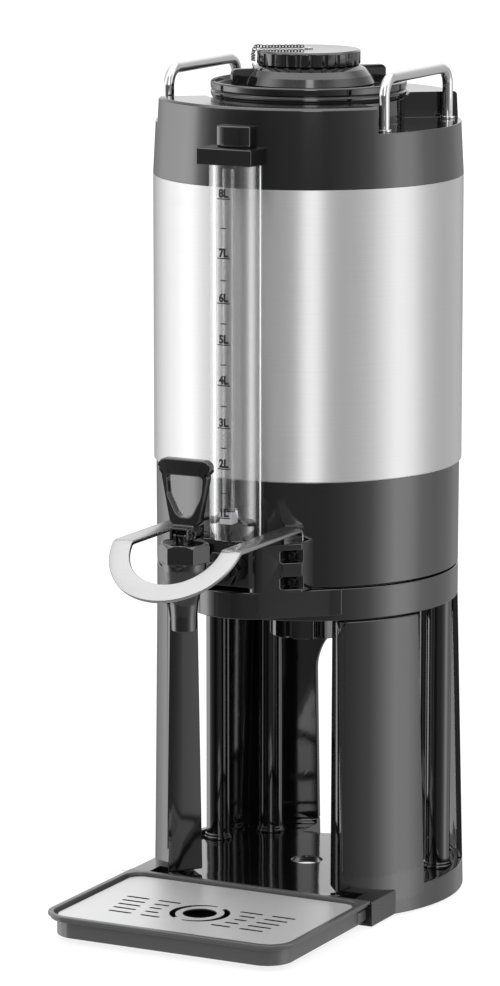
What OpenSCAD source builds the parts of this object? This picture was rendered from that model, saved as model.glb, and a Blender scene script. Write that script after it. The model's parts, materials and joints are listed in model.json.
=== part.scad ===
// Insulated beverage dispenser: a vacuum container with a lever tap, a sight gauge
// and a carrying crown, standing on a four-legged stand with a drip tray.
// Millimetres. +Z is up, the tap faces -Y, the floor is Z = 0, and the origin is the
// middle of the footprint. Bearings are turned about Z from the front towards +X.

/* [Stand] */
// Radius of the stand at the floor
base_r = 118.1; // [115.5:0.2:130]
// Distance that the stand leans back from its top to the floor
stand_lean = 3.6; // [0:0.2:5]
// Radius of the ring at the top of the stand
ring_r = 114; // [112.6:0.2:116]
// Height of the stand, from the floor to the seam under the container
stand_h = 252.2; // [240:0.2:320]
// Height of the ring
ring_h = 24; // [20:0.5:32]
// Height of the base wall under the side slots
sill_h = 20; // [17:0.5:28]
// Height of the base floor
floor_h = 16; // [13:0.5:18]
// Half of the width of the raised middle of the floor
mid_half_w = 62.5; // [40:0.5:72]
// Radius of the hole in the base floor
floor_hole_r = 11.5; // [5:0.1:20]
// Bearing of the front edge of a front leg, degrees
leg_front_deg = 38; // [34:0.5:44]
// Bearing of the rear edge of a front leg, degrees
leg_rear_deg = 74.5; // [66:0.5:80]
// Radius of the inner face of a front leg at the top
leg_inner_r = 91; // [84:0.5:98]
// Wall of the legs, the rear panel and the base
stand_wall = 4; // [2.5:0.1:6]
// Bearing of the front edge of the rear panel, degrees
panel_deg = 115; // [112:0.5:124]
// Width of the arch in the rear panel
arch_w = 88; // [40:1:110]
// Height of the top of the arch
arch_h = 186; // [120:1:196]
// Radius of a post
post_r = 9.5; // [6:0.1:9.6]
// Distance of the posts from the axis
post_ring_r = 100.2; // [99:0.1:100.3]
// Bearing of the side posts, degrees
side_post_deg = 110; // [106:0.5:110]
// Bearing of the rear posts, degrees
rear_post_deg = 137; // [128:0.5:142]
// Height that the rubber feet lift the base
foot_lift = 1; // [0.4:0.1:3]
// Radius of a rubber foot
foot_r = 8; // [5:0.5:9]

/* [Drip tray] */
// Half of the tray's width at the rim
tray_half_w = 101; // [95:0.5:104]
// Distance from the container's axis to the front of the rim
tray_reach = 240; // [220:1:280]
// Distance from the container's axis to the rear of the rim
tray_rear = 97; // [96:0.5:100]
// Height of the rim
tray_h = 21; // [18:0.5:28]
// Overhang of the rim over the tray's wall at the sides
tray_lip = 5.5; // [4:0.5:8]
// Height of the rim's bead
tray_bead = 2.4; // [1.6:0.1:4]
// Width of the rim
tray_rim_w = 4.5; // [3:0.5:7]
// Radius of the rim's corners
tray_corner_r = 22; // [18:0.5:30]
// Thickness of the grille plate
grille_t = 1.2; // [0.8:0.1:2]
// Depth of the grille below the rim
grille_drop = 2.6; // [1:0.1:3]
// Gap round the grille
grille_gap = 3; // [0.5:0.1:4]
// Width of a slot in the grille
slot_w = 3; // [1.5:0.1:4]
// Distance between rows of slots
slot_pitch = 10; // [6:0.5:12]
// Radius of the middle hole of the grille
drain_hole_r = 12.7; // [8:0.1:16]

/* [Container] */
// Radius of the steel band
band_r = 116; // [115:0.2:118]
// Gap between the stand and the container
seam_gap = 1.5; // [1:0.1:3]
// Height of the lower collar
collar_h = 78.9; // [72:0.5:100]
// Height of the steel band
band_h = 214.2; // [180:1:300]
// Height of the crown above the band
crown_h = 58.8; // [56:0.2:64]
// Radius of the crown at its rim
crown_rim_r = 113; // [111:0.2:115]
// Depth of the handle notches in the crown
notch_drop = 19.2; // [17:0.2:24]
// Half of the bearing span of a notch, degrees
notch_half_deg = 37; // [35:0.5:40]
// Thickness of the steel shells
shell_t = 0.8; // [0.6:0.1:1.2]
// Gap for the vacuum between the shells
vacuum_gap = 12.6; // [10.5:0.1:15]
// Radius inside the neck of the inner vessel
neck_r = 58; // [50:0.5:60]
// Radius of the crown's neck wall
crown_neck_r = 71.4; // [70.5:0.1:72]
// Wall of the collar and the crown
shell_wall = 4; // [3:0.1:4.6]
// Radius of the clamping nut under the container
base_nut_r = 28.5; // [22:0.5:36]
// Height of the clamping nut
base_nut_h = 48; // [20:1:56]

/* [Lid and cap] */
// Radius of the lid
lid_r = 73; // [72.4:0.2:76]
// Height of the lid's edge
lid_edge_h = 10.5; // [7:0.1:12]
// Radius of the lid's cone at its foot
cone_r = 49.5; // [47:0.5:54]
// Height of the lid's cone
cone_h = 15.5; // [13:0.5:18]
// Distance from the axis to the end of a lid ear
ear_reach = 61; // [56:0.5:66]
// Thickness of a lid ear
ear_t = 5; // [3:0.5:12]
// Bearing of the ears, degrees
ear_deg = 137; // [100:1:170]
// Radius of the fill cap
cap_r = 38.6; // [37:0.2:42]
// Height of the fill cap
cap_h = 10.6; // [10:0.2:16]
// Number of flutes round the fill cap
flutes = 24; // [12:1:36]
// Radius of the wire of the chain
chain_wire_r = 0.38; // [0.3:0.01:0.4]
// Radius of a chain link, to the middle of its wire
link_r = 1.55; // [1.5:0.01:1.8]

/* [Handles and guard] */
// Radius of a handle's rod
handle_rod_r = 4; // [3:0.1:5]
// Height of a handle above the notch
handle_h = 42.4; // [30:0.2:70]
// Distance of a handle from the middle plane
handle_x = 88.6; // [86:0.2:88.8]
// Half of the distance between a handle's legs
handle_half_span = 54.7; // [46:0.2:56]
// Bend radius of a handle
handle_bend_r = 13; // [8:0.5:18]
// Width of the guard's flat bar
guard_w = 15.6; // [12:0.2:16]
// Thickness of the guard's flat bar
guard_t = 3; // [2:0.1:4]
// Middle radius of the guard's loop
guard_loop_r = 43.8; // [43:0.1:44.4]
// Distance of the bend of the guard in front of the ring
guard_out = 96; // [76:1:108]
// Tilt of the guard's loop below the level, degrees
guard_tilt = 40; // [30:1:60]
// Height of the guard's legs above the stand
guard_rise = 47.4; // [44:0.2:54]

/* [Housing] */
// Half of the housing's width
housing_half_w = 55; // [54:0.2:57]
// Height of the housing
housing_h = 36.1; // [34:0.1:40]
// Distance of the side corners of the housing in front of the ring
housing_side_out = 5.3; // [4:0.1:7]
// Distance of the nose of the housing in front of the ring
housing_nose_out = 35.6; // [33.6:0.1:37.6]
// Half of the width of the recess for the tap's shank
recess_half_w = 19; // [17:0.2:20]
// Wall of the housing
housing_wall = 3.4; // [2.5:0.1:4]
// Distance between the two screws on each side
screw_pitch = 19.6; // [17:0.2:21]

/* [Gauge] */
// Radius of the clear shield
shield_r = 19.5; // [18:0.1:20.5]
// Thickness of the clear shield
shield_t = 1.6; // [1:0.1:2.4]
// Distance of the axis of the shield in front of the ring
shield_out = 4; // [4:0.2:5]
// Radius of the sight tube
sight_tube_r = 4.75; // [4:0.05:5.5]
// Distance of the axis of the sight tube in front of the ring
sight_tube_out = 15.5; // [13.5:0.2:16.5]
// Height of the gauge's top block
block_h = 12; // [9:0.5:16]
// Half of the width of the gauge's top block
block_half_w = 22.2; // [21.5:0.1:26]
// Height of the gauge's vent cap
vent_h = 15.4; // [12:0.2:18]
// Height of the lowest litre mark above the band's lower edge
first_mark = -25.4; // [-26:0.1:-20]

/* [Tap] */
// Distance of the axis of the tap in front of the ring
tap_out = 85; // [80:0.5:88]
// Radius of the bonnet nut over its corners
bonnet_r = 18.9; // [18.2:0.1:21]
// Height of the bonnet nut
bonnet_h = 14; // [11:0.5:18]
// Radius of the tap's body at its top
tap_body_r = 16.1; // [15:0.1:16.3]
// Radius of the spout at its tip
spout_r = 9.2; // [8.4:0.1:9.6]
// Drop of the spout's tip below the shank's axis
spout_drop = 34.5; // [30:0.5:40]
// Radius of the shank
shank_r = 9; // [7.5:0.1:9.5]
// Radius of the bore for the drink
drink_bore_r = 5.5; // [4:0.1:6]
// Width of the lever's loop
lever_w = 42.4; // [34:0.2:50]
// Thickness of the lever's loop
lever_t = 7.5; // [5:0.1:9]
// Height of the lever above its pin
lever_h = 55.3; // [50:0.1:75]
// Radius of the lever's pin
pin_r = 1.5; // [1.2:0.05:1.6]
// Distance from the stem to the lever's pin
pin_offset = 4.5; // [4.4:0.1:4.8]
// Radius of the stem
stem_r = 3; // [2.4:0.05:3]
// Wire radius of the spring
spring_wire_r = 0.7; // [0.5:0.05:0.8]
// Turns of the spring
spring_turns = 6; // [4:1:8]

/* [Hidden] */
$fn = 64;

black = "#1c1c1e";
steel = "#c8c9ca";
rubber_grey = "#2a2a2a";
clear = [0.85, 0.9, 0.92, 0.45];

// One overrun serves every cut, one hairline every fit
over = 1;

// Places in front of the ring
shield_y = ring_r + shield_out;
sight_tube_y = ring_r + sight_tube_out;
tap_reach = ring_r + tap_out;
guard_reach = ring_r + guard_out;
housing_side_y = ring_r + housing_side_out;
housing_nose_y = ring_r + housing_nose_out;
fit = 0.06;
big = 400;

// Footprint and levels, from the floor up
guard_end_y = guard_reach + (guard_loop_r + guard_w / 2) * cos(guard_tilt);
axis_y = (max(tray_reach, guard_end_y) - base_r - stand_lean) / 2;
ring_z = stand_h - ring_h;
ring_wall = stand_wall + 0.5 * shell_wall;
seat_z = stand_h - 6 * seam_gap + 3 * foot_lift;
collar_z = stand_h + seam_gap;
band_z = collar_z + collar_h;
band_top_z = band_z + band_h;
crown_z = band_top_z + crown_h;
notch_z = crown_z - notch_drop;

// Names that repeated sums share
slot_mid_y = 176 / 240 * tray_reach;

function at_bearing(r, deg) = [r * sin(deg), -r * cos(deg)];
function flare_r(z) = base_r + (ring_r - base_r) * (z - foot_lift) / (ring_z - foot_lift);

module on_axis() {
    translate([0, axis_y, 0]) children();
}

// A sector between two bearings, as wide as its reach
module sector(from_deg, to_deg, z_low, z_high, reach = big) {
    half = (to_deg - from_deg) / 2;
    translate([0, 0, z_low])
        linear_extrude(z_high - z_low)
            polygon([[0, 0], at_bearing(reach / cos(half), from_deg), at_bearing(reach / cos(half), to_deg)]);
}

module tube(r_out, r_in, z_low, z_high) {
    rotate_extrude()
        polygon([[r_in, z_low], [r_out, z_low], [r_out, z_high], [r_in, z_high]]);
}

module disc(r, z_low, z_high) {
    translate([0, 0, z_low]) cylinder(r = r, h = z_high - z_low);
}

// A rod along Y, from the rear end towards the front
module rod_y(r, y_rear, y_front, z) {
    translate([0, -y_rear, z]) rotate([90, 0, 0]) cylinder(r = r, h = y_front - y_rear);
}

// A plate with round corners, of one radius in front and another at the rear
module round_plate(half_w, y_near, y_far, r_far, r_near, z_low, z_high) {
    translate([0, 0, z_low]) linear_extrude(z_high - z_low) {
        translate([-half_w + r_far, -y_far]) square([2 * (half_w - r_far), r_far]);
        translate([-half_w, -y_far + r_far]) square([2 * half_w, y_far - y_near - r_far - r_near]);
        translate([-half_w + r_near, -y_near - r_near]) square([2 * (half_w - r_near), r_near]);
        for (sx = [-1, 1]) {
            translate([sx * (half_w - r_far), -y_far + r_far]) circle(r_far);
            translate([sx * (half_w - r_near), -y_near - r_near]) circle(r_near);
        }
    }
}

// Stand

block_half_w2 = tray_half_w + foot_lift;
base_front_y = tray_rear - 0.5 * foot_lift;
block_y = 0.4 * base_front_y;
rear_sill_z = 7 * foot_lift;
skirt_t = 1.5 * stand_wall;
under_z = floor_h - stand_wall;
mid_h = floor_h + 1.4 * foot_lift;
mid_y = 4 * foot_lift;
gate_y = 78 / 118.1 * base_r;
post_foot_h = 4 * foot_lift;
post_degs = [side_post_deg, -side_post_deg, rear_post_deg, -rear_post_deg];
foot_degs = [58, -58, 122, -122];
foot_ring_r = post_ring_r - foot_lift;
arch_mid_z = arch_h - arch_w / 2;
leg_seam = 1.2 * foot_lift;

// The stand's skin is a cone whose axis leans: its foot lies behind its top
module leaning() {
    slope = stand_lean / (ring_z - foot_lift);
    multmatrix([[1, 0, 0, 0], [0, 1, -slope, slope * ring_z], [0, 0, 1, 0]]) children();
}

// A slice of the skin, between two depths and two heights
module skin(outset, inset, z_low, z_high) {
    rotate_extrude()
        polygon([[flare_r(z_low) - inset, z_low], [flare_r(z_low) - outset, z_low],
            [flare_r(z_high) - outset, z_high], [flare_r(z_high) - inset, z_high]]);
}

module arch_cut() {
    translate([-arch_w / 2, gate_y, rear_sill_z]) cube([arch_w, big, arch_mid_z - rear_sill_z]);
    translate([0, gate_y, arch_mid_z]) rotate([-90, 0, 0]) cylinder(r = arch_w / 2, h = big);
}

module stand_base() {
    block_x = block_half_w2 - 2 * tongue_w;
    color(black) on_axis() difference() {
        union() {
            intersection() {
                leaning() union() {
                    skin(0, skirt_t, foot_lift, sill_h);
                    disc(base_r - 0.6 * skirt_t, under_z, floor_h);
                }
                translate([-big, -base_front_y, 0]) cube([2 * big, 2 * big, big]);
            }
            intersection() {
                translate([-0.55 * arch_w, gate_y - stand_wall, foot_lift])
                    cube([1.1 * arch_w, base_r, floor_h - foot_lift]);
                disc(base_r, 0, big);
            }
            translate([-mid_half_w, -base_front_y, under_z])
                cube([2 * mid_half_w, base_front_y + mid_y, mid_h - under_z]);
            translate([0, mid_y, 0]) disc(mid_half_w, under_z, mid_h);
            for (sx = [-1, 1])
                translate([sx < 0 ? -block_half_w2 : block_x, -base_front_y, foot_lift])
                    cube([2 * tongue_w, base_front_y - block_y, sill_h - foot_lift]);
            translate([-block_half_w2, -base_front_y, foot_lift])
                cube([2 * block_half_w2, stand_wall, mid_h - foot_lift]);
            for (deg = foot_degs)
                translate(concat(at_bearing(foot_ring_r, deg), 0)) disc(foot_r + foot_lift, foot_lift, floor_h);
        }
        arch_cut();
        disc(floor_hole_r, 0, big);
        for (sx = [-1, 1])
            translate([sx * tongue_x - tongue_w / 2 - fit, -base_front_y - over, tongue_z - fit])
                cube([tongue_w + 2 * fit, tongue_l + over, tongue_h + 2 * fit]);
        for (deg = foot_degs)
            translate(concat(at_bearing(foot_ring_r, deg), -over))
                cylinder(r = foot_r + fit, h = over + 2 * foot_lift);
        for (deg = post_degs)
            translate(concat(at_bearing(post_ring_r, deg), 0)) disc(post_r - stand_wall / 2 + fit, 0, big);
    }
}

// A front leg is a hollow box between the skin and an inner face
module leg_envelope(inset, z_low, z_high) {
    leaning() rotate_extrude()
        polygon([[leg_inner_r - foot_lift + inset, z_low], [flare_r(z_low) - inset, z_low],
            [flare_r(z_high) - inset, z_high], [leg_inner_r + inset, z_high]]);
}

// Everything in front of or behind a leaning edge
module edge_block(deg, lean, ahead) {
    rotate([0, 0, deg]) translate([0, 0, ring_z / 2]) rotate([0, lean, 0])
        translate([ahead ? 0 : -big, -big, -big]) cube([big, big, 2 * big]);
}

module leg_shape(side, inset, z_low, z_high) {
    edge_deg = asin(inset / leg_inner_r);
    mirror([side < 0 ? 1 : 0, 0, 0]) intersection() {
        leg_envelope(inset, z_low, z_high);
        edge_block(leg_front_deg + edge_deg, 0, true);
        edge_block(leg_rear_deg - edge_deg, -1.4, false);
    }
}

module leg(side) {
    color(black) on_axis() difference() {
        union() {
            leg_shape(side, 0, sill_h, ring_z - leg_seam);
            leg_shape(side, stand_wall / 2, ring_z - 2 * leg_seam, ring_z);
        }
        leg_shape(side, stand_wall, sill_h + stand_wall, ring_z - 2 * stand_wall);
    }
}

module leg_front_left() {
    leg(-1);
}

module leg_front_right() {
    leg(1);
}

module rear_panel() {
    color(black) on_axis() difference() {
        intersection() {
            leaning() skin(0, stand_wall, sill_h, ring_z);
            sector(panel_deg, 360 - panel_deg, 0, ring_z + over);
        }
        arch_cut();
    }
}

module post(deg) {
    color(black) on_axis() translate(at_bearing(post_ring_r, deg)) {
        disc(post_r, floor_h, ring_z);
        disc(post_r - stand_wall / 2, under_z, floor_h + over);
        disc(post_r + 2 * foot_lift, floor_h, floor_h + post_foot_h / 2);
        disc(post_r + foot_lift, floor_h, floor_h + post_foot_h);
    }
}

module post_side_left() {
    post(-side_post_deg);
}

module post_side_right() {
    post(side_post_deg);
}

module post_rear_left() {
    post(-rear_post_deg);
}

module post_rear_right() {
    post(rear_post_deg);
}

shelf_half_w = 30 / 55 * housing_half_w;
shelf_y = housing_nose_y - 12.6;
shelf_r = 45 / 55 * housing_half_w;
seat_in_r = leg_inner_r + stand_wall;

module stand_ring() {
    color(black) on_axis() {
        rotate_extrude()
            polygon([[seat_in_r, ring_z], [ring_r, ring_z], [ring_r, stand_h], [ring_r - ring_wall, stand_h],
                [ring_r - ring_wall, seat_z], [seat_in_r, seat_z]]);
        difference() {
            translate([0, 0, ring_z + stand_wall]) linear_extrude(ring_h - stand_wall)
                intersection() {
                    translate([0, -shelf_y + shelf_r]) circle(shelf_r);
                    translate([-shelf_half_w, -big]) square([2 * shelf_half_w, big - seat_in_r]);
                }
            disc(ring_r - over, 0, big);
        }
    }
}

module rubber_feet() {
    color(rubber_grey) on_axis() for (deg = foot_degs)
        translate(at_bearing(foot_ring_r, deg)) disc(foot_r, 0, 2 * foot_lift);
}

// Drip tray

tray_wall = 2;
tray_floor = 2;
tray_bottom = 3.8 * foot_lift;
body_half_w = tray_half_w - tray_lip;
body_reach = tray_reach - tray_lip;
body_corner_r = 0.9 * tray_corner_r;
tongue_w = 8;
tongue_h = 8;
tongue_l = 12;
tongue_x = tray_half_w - tongue_w;
tongue_z = (sill_h - tongue_h) / 2;
grille_z = tray_h - grille_drop;
ledge_z = grille_z - grille_t;
inner_r = tray_corner_r - tray_rim_w;
grille_in = tray_rim_w + grille_gap;
rear_r = 0.6 * tray_corner_r;

module drip_tray() {
    w = tray_rim_w + grille_gap + tray_wall;
    color(black) on_axis() {
        difference() {
            union() {
                round_plate(tray_half_w, tray_rear, tray_reach, tray_corner_r, foot_lift, tray_h - tray_bead, tray_h);
                round_plate(tray_half_w - tray_wall, tray_rear, tray_reach - tray_wall, tray_corner_r - tray_wall,
                    foot_lift, tray_h - 2 * tray_bead, tray_h - tray_bead);
                round_plate(body_half_w, tray_rear, body_reach, body_corner_r, foot_lift, tray_bottom,
                    tray_h - tray_bead);
            }
            round_plate(tray_half_w - tray_rim_w, tray_rear + tray_rim_w, tray_reach - tray_rim_w, inner_r, rear_r,
                ledge_z, big);
            round_plate(tray_half_w - w, tray_rear + w, tray_reach - w, tray_corner_r - w, foot_lift,
                tray_bottom + tray_floor, big);
        }
        for (sx = [-1, 1])
            translate([sx * tongue_x - tongue_w / 2, -tray_rear - tongue_l, tongue_z])
                cube([tongue_w, 2 * tongue_l - over, tongue_h]);
    }
}

// Slots run in five rows on each side, in two columns that lean inwards to the front
slot_rows = 5;
outer_near_share = 51 / 101;
outer_far_share = 70.2 / 101;
inner_near_shares = [24.6, 29, 30, 27.4, 21] / 101;
inner_far_share = 43.6 / 101;
lean_share = 1.6 / 101;

module slot(x_near, x_far, y) {
    r = slot_w / 2;
    for (x = [x_near + r, x_far - r])
        translate([x, -y]) circle(r);
    translate([x_near + r, -y - r]) square([x_far - x_near - slot_w, slot_w]);
}

module crescent() {
    reach = 2.4 * drain_hole_r;
    intersection() {
        difference() {
            circle(1.77 * drain_hole_r);
            translate([0.2 * drain_hole_r, 0]) circle(1.6 * drain_hole_r);
        }
        polygon([[0, 0], reach * [cos(80), sin(80)], reach * [-1, 1], reach * [-1, 0], reach * [-1, -1],
            reach * [cos(238), sin(238)]]);
    }
}

module drip_grille() {
    color(steel) on_axis() difference() {
        round_plate(tray_half_w - grille_in, tray_rear + grille_in, tray_reach - grille_in,
            tray_corner_r - grille_in, rear_r - grille_gap, ledge_z, grille_z);
        translate([0, 0, ledge_z - over]) linear_extrude(grille_t + 2 * over) {
            for (sx = [0, 1], row = [0:slot_rows - 1]) mirror([sx, 0]) {
                y = slot_mid_y + (row - 1.7) * slot_pitch;
                shift = row * lean_share * tray_half_w;
                slot(outer_near_share * tray_half_w - shift, outer_far_share * tray_half_w - shift, y);
                slot(inner_near_shares[row] * tray_half_w, inner_far_share * tray_half_w - shift, y);
            }
            translate([0, -slot_mid_y]) {
                circle(drain_hole_r);
                for (turn = [0, 180]) rotate(turn) crescent();
            }
        }
    }
}

// Container

low_shell_r = ring_r - shell_wall - 1.2 * foot_lift;
shell_z = collar_z + shell_wall;
plate_t = shell_wall - shell_t;
collar_in_r = low_shell_r + fit;
collar_top_z = band_z - shell_t - fit;
shoulder_z = band_top_z - 3 * vacuum_gap;
neck_top_z = crown_z - vacuum_gap - shell_t;
shell_neck_r = neck_r + 2 * shell_t + vacuum_gap / 4;
vessel_r = band_r - shell_t - vacuum_gap;
vessel_z = shell_z + 5 * shell_t;
vessel_top_z = neck_top_z - 4 * vacuum_gap;
outlet_z = collar_z + 16.3;
outlet_r = shank_r - foot_lift;
stud_r = 0.7 * base_nut_r;
stand_ring_in_r = seat_in_r + 2 * foot_lift;

module lower_collar() {
    color(black) on_axis() difference() {
        rotate_extrude()
            polygon([[collar_in_r, collar_z], [ring_r - fit, collar_z], [ring_r + 4 * fit, band_z - shell_wall],
                [ring_r + 4 * fit, collar_top_z], [collar_in_r, collar_top_z]]);
        rod_y(outlet_r + fit, 0, big, outlet_z);
        for (sx = [-1, 1], dz = [-1, 1])
            translate([sx * screw_x, 0, 0]) rod_y(screw_r + fit, 0, big, screw_mid_z + dz * screw_pitch / 2);
        rod_y(feed_r + fit, 0, big, feed_z);
    }
}

module bottom_plate() {
    color(black) on_axis() {
        disc(collar_in_r - fit, collar_z, collar_z + plate_t);
        tube(ring_r - ring_wall - 2 * foot_lift, stand_ring_in_r, seat_z, collar_z + fit);
        tube(stud_r, stud_r - shell_wall, collar_z - base_nut_h - 6 * foot_lift, collar_z + fit);
    }
}

lobes = 4;

module base_nut() {
    color(black) on_axis() difference() {
        translate([0, 0, collar_z - base_nut_h - 10 * foot_lift]) linear_extrude(base_nut_h) {
            circle(0.86 * base_nut_r);
            intersection() {
                circle(base_nut_r);
                for (turn = [0:lobes - 1]) rotate(turn * 180 / lobes + 20)
                    square([0.56 * base_nut_r, 3 * base_nut_r], center = true);
            }
        }
        disc(stud_r + fit, collar_z - base_nut_h - 7 * foot_lift, big);
    }
}

module outer_shell() {
    t = shell_t;
    color(steel) on_axis() difference() {
        rotate_extrude()
            polygon([[0, shell_z], [low_shell_r, shell_z], [low_shell_r, band_z - t], [band_r - t, band_z - t],
                [band_r, band_z], [band_r, band_top_z], [low_shell_r, band_top_z],
                [low_shell_r, band_top_z + vacuum_gap / 2], [shell_neck_r, band_top_z + vacuum_gap],
                [shell_neck_r, neck_top_z], [neck_r + t + fit, neck_top_z], [neck_r + t + fit, neck_top_z - t],
                [shell_neck_r - t, neck_top_z - t], [shell_neck_r - t, band_top_z + vacuum_gap - t],
                [low_shell_r - t, band_top_z + vacuum_gap / 2 - t], [low_shell_r - t, band_top_z - t],
                [band_r - t, band_top_z - t], [band_r - t, band_z + t], [low_shell_r - t, band_z + t],
                [low_shell_r - t, shell_z + t], [0, shell_z + t]]);
        rod_y(outlet_r + fit, 0, big, outlet_z);
    }
}

module inner_vessel() {
    t = shell_t;
    color(steel) on_axis() difference() {
        rotate_extrude()
            polygon([[0, vessel_z], [vessel_r - vacuum_gap, vessel_z], [vessel_r, vessel_z + vacuum_gap / 2],
                [vessel_r, shoulder_z], [neck_r + t, vessel_top_z], [neck_r + t, neck_top_z],
                [neck_r, neck_top_z], [neck_r, vessel_top_z - t], [vessel_r - t, shoulder_z - t],
                [vessel_r - t, vessel_z + vacuum_gap / 2 + t / 2], [vessel_r - vacuum_gap - t / 2, vessel_z + t],
                [0, vessel_z + t]]);
        rod_y(outlet_r + fit, 0, big, outlet_z);
    }
}

module outlet_tube() {
    color(steel) on_axis() difference() {
        rod_y(outlet_r, vessel_r - vacuum_gap, shank_rear_y - fit, outlet_z);
        rod_y(drink_bore_r, 0, big, outlet_z);
    }
}

module outlet_seal() {
    color(rubber_grey) on_axis() difference() {
        rod_y(outlet_r + 2 * shell_t, ring_r + 6 * fit, shank_rear_y - fit, outlet_z);
        rod_y(outlet_r + fit, 0, big, outlet_z);
    }
}

// Crown: one skin that wraps the rim, with a notch on each side for a handle

crown_wall_in = shell_wall;
bevel = 1.5;
recess_r = lid_r + 2.5;
recess_z = crown_z - 2;

module crown_envelope() {
    neck_low_z = band_top_z + vacuum_gap + fit;
    rotate_extrude()
        polygon([[crown_neck_r - shell_wall, neck_low_z], [crown_neck_r, neck_low_z],
            [crown_neck_r, band_top_z + fit], [band_r, band_top_z + fit],
            [crown_rim_r, crown_z - bevel], [crown_rim_r - bevel, crown_z], [recess_r + bevel, crown_z],
            [recess_r, recess_z], [crown_neck_r - shell_wall, recess_z]]);
}

module crown_hollow() {
    w = shell_wall;
    rotate_extrude()
        polygon([[crown_neck_r, band_top_z - over], [band_r - w, band_top_z - over],
            [crown_rim_r - w - bevel, crown_z - w], [recess_r + w, crown_z - w], [recess_r, recess_z - w],
            [crown_neck_r, recess_z - w]]);
}

module notch(z_low, z_high, grow = 0) {
    difference() {
        for (side_deg = [90, -90])
            sector(side_deg - notch_half_deg - grow, side_deg + notch_half_deg + grow, z_low, z_high);
        disc(crown_neck_r, 0, big * 2);
    }
}

module crown() {
    grow = 2.2;
    color(black) on_axis() difference() {
        intersection() {
            crown_envelope();
            union() {
                difference() {
                    crown_envelope();
                    crown_hollow();
                }
                notch(notch_z - shell_wall, 2 * big, grow);
            }
        }
        notch(notch_z, 2 * big);
        for (sx = [-1, 1], sy = [-1, 1])
            translate([sx * handle_x, sy * handle_half_span, 0]) disc(handle_rod_r + fit, 0, 2 * big);
    }
}

module handle_corner(y) {
    translate([0, y, 0]) rotate([90, 0, 90])
        rotate_extrude(angle = 90) translate([handle_bend_r, 0]) circle(handle_rod_r);
}

handle_top_z = notch_z + handle_h - handle_rod_r;
handle_foot_z = notch_z - shell_wall - 2 * handle_rod_r;

module handle(side) {
    straight = handle_half_span - handle_bend_r;
    color(steel) on_axis() translate([side * handle_x, 0, 0]) {
        for (sy = [-1, 1])
            translate([0, sy * handle_half_span, 0])
                disc(handle_rod_r, handle_foot_z, handle_top_z - handle_bend_r);
        translate([0, straight, handle_top_z]) rotate([90, 0, 0])
            cylinder(r = handle_rod_r, h = 2 * straight);
        for (flip = [0, 1]) mirror([0, flip, 0])
            translate([0, 0, handle_top_z - handle_bend_r]) handle_corner(straight);
    }
}

module handle_left() {
    handle(-1);
}

module handle_right() {
    handle(1);
}

module at_handle_feet() {
    for (sx = [-1, 1], sy = [-1, 1])
        translate([sx * handle_x, sy * handle_half_span, 0]) children();
}

module handle_nuts() {
    color(steel) on_axis() at_handle_feet() difference() {
        translate([0, 0, handle_foot_z]) cylinder(r = 1.35 * handle_rod_r, h = 2 * handle_rod_r - fit, $fn = 6);
        disc(handle_rod_r + fit, 0, 2 * big);
    }
}

module handle_ferrules() {
    color(steel) on_axis() at_handle_feet()
        tube(1.35 * handle_rod_r, handle_rod_r + fit, notch_z, notch_z + handle_rod_r / 2);
}

// Housing on the front of the collar, with the guard and its screws

housing_top_z = collar_z + housing_h;
nose_round = 3;
screw_r = 2;
screw_head_r = 3.4;
screw_x = housing_half_w - 8.6;
screw_mid_z = collar_z + 17;
pocket_half_h = 4.6;
pocket_y = housing_side_y - 2.3;
pocket_x = 0.77 * housing_half_w;
recess_y = ring_r + 4 * nose_round;
tab_x = guard_loop_r - guard_w / 2;
tab_rear_y = sqrt(pow(ring_r + 6 * fit, 2) - pow(tab_x, 2)) + guard_t;
feed_r = 3.5;
feed_z = housing_top_z - 8;

// The slanted faces meet the recess in a round nose
slant = [housing_half_w - recess_half_w, housing_nose_y - housing_side_y];
slant_way = slant / norm(slant);
slant_level = slant_way[1] * housing_half_w + slant_way[0] * housing_side_y;
nose_x = recess_half_w + nose_round;
function slant_y(x, inset) = (slant_level - inset - slant_way[1] * x) / slant_way[0];

module half_plan() {
    nose = [nose_x, -slant_y(nose_x, nose_round)];
    polygon([[recess_half_w, 0], [recess_half_w, nose[1]],
        nose + nose_round * [slant_way[1], -slant_way[0]], [housing_half_w, -housing_side_y], [housing_half_w, 0]]);
    translate(nose) circle(nose_round);
}

module front_housing() {
    in_x = recess_half_w + housing_wall;
    out_x = pocket_x - housing_wall;
    color(black) on_axis() difference() {
        union() {
            for (flip = [0, 1]) mirror([flip, 0, 0])
                translate([0, 0, collar_z]) linear_extrude(housing_h) half_plan();
            translate([-in_x, -recess_y, collar_z]) cube([2 * in_x, recess_y, housing_h]);
            translate([-in_x, -slant_y(nose_x, nose_round), housing_top_z - housing_wall])
                cube([2 * in_x, slant_y(nose_x, nose_round), housing_wall]);
        }
        for (flip = [0, 1]) mirror([flip, 0, 0])
            translate([0, 0, collar_z + housing_wall]) linear_extrude(housing_h - 2 * housing_wall)
                polygon([[in_x, 0], [in_x, -slant_y(in_x, housing_wall)], [out_x, -slant_y(out_x, housing_wall)],
                    [out_x, 0]]);
        translate([-in_x - over, -recess_y + housing_wall, collar_z + housing_wall])
            cube([2 * (in_x + over), recess_y, housing_h - 2 * housing_wall]);
        disc(ring_r + 5 * fit, 0, 2 * big);
        for (sx = [-1, 1], dz = [-1, 1])
            translate([0, 0, screw_mid_z + dz * screw_pitch / 2]) screw_pocket(sx);
        for (sx = [-1, 1])
            translate([sx * guard_loop_r - guard_w / 2 - 2 * fit, -tab_rear_y - 2 * fit, collar_z + housing_wall])
                cube([guard_w + 4 * fit, big, big]);
        rod_y(shank_r + fit, 0, big, outlet_z);
        translate([0, -sight_tube_y, 0]) disc(feed_r + fit, feed_z, 2 * big);
    }
}

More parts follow.
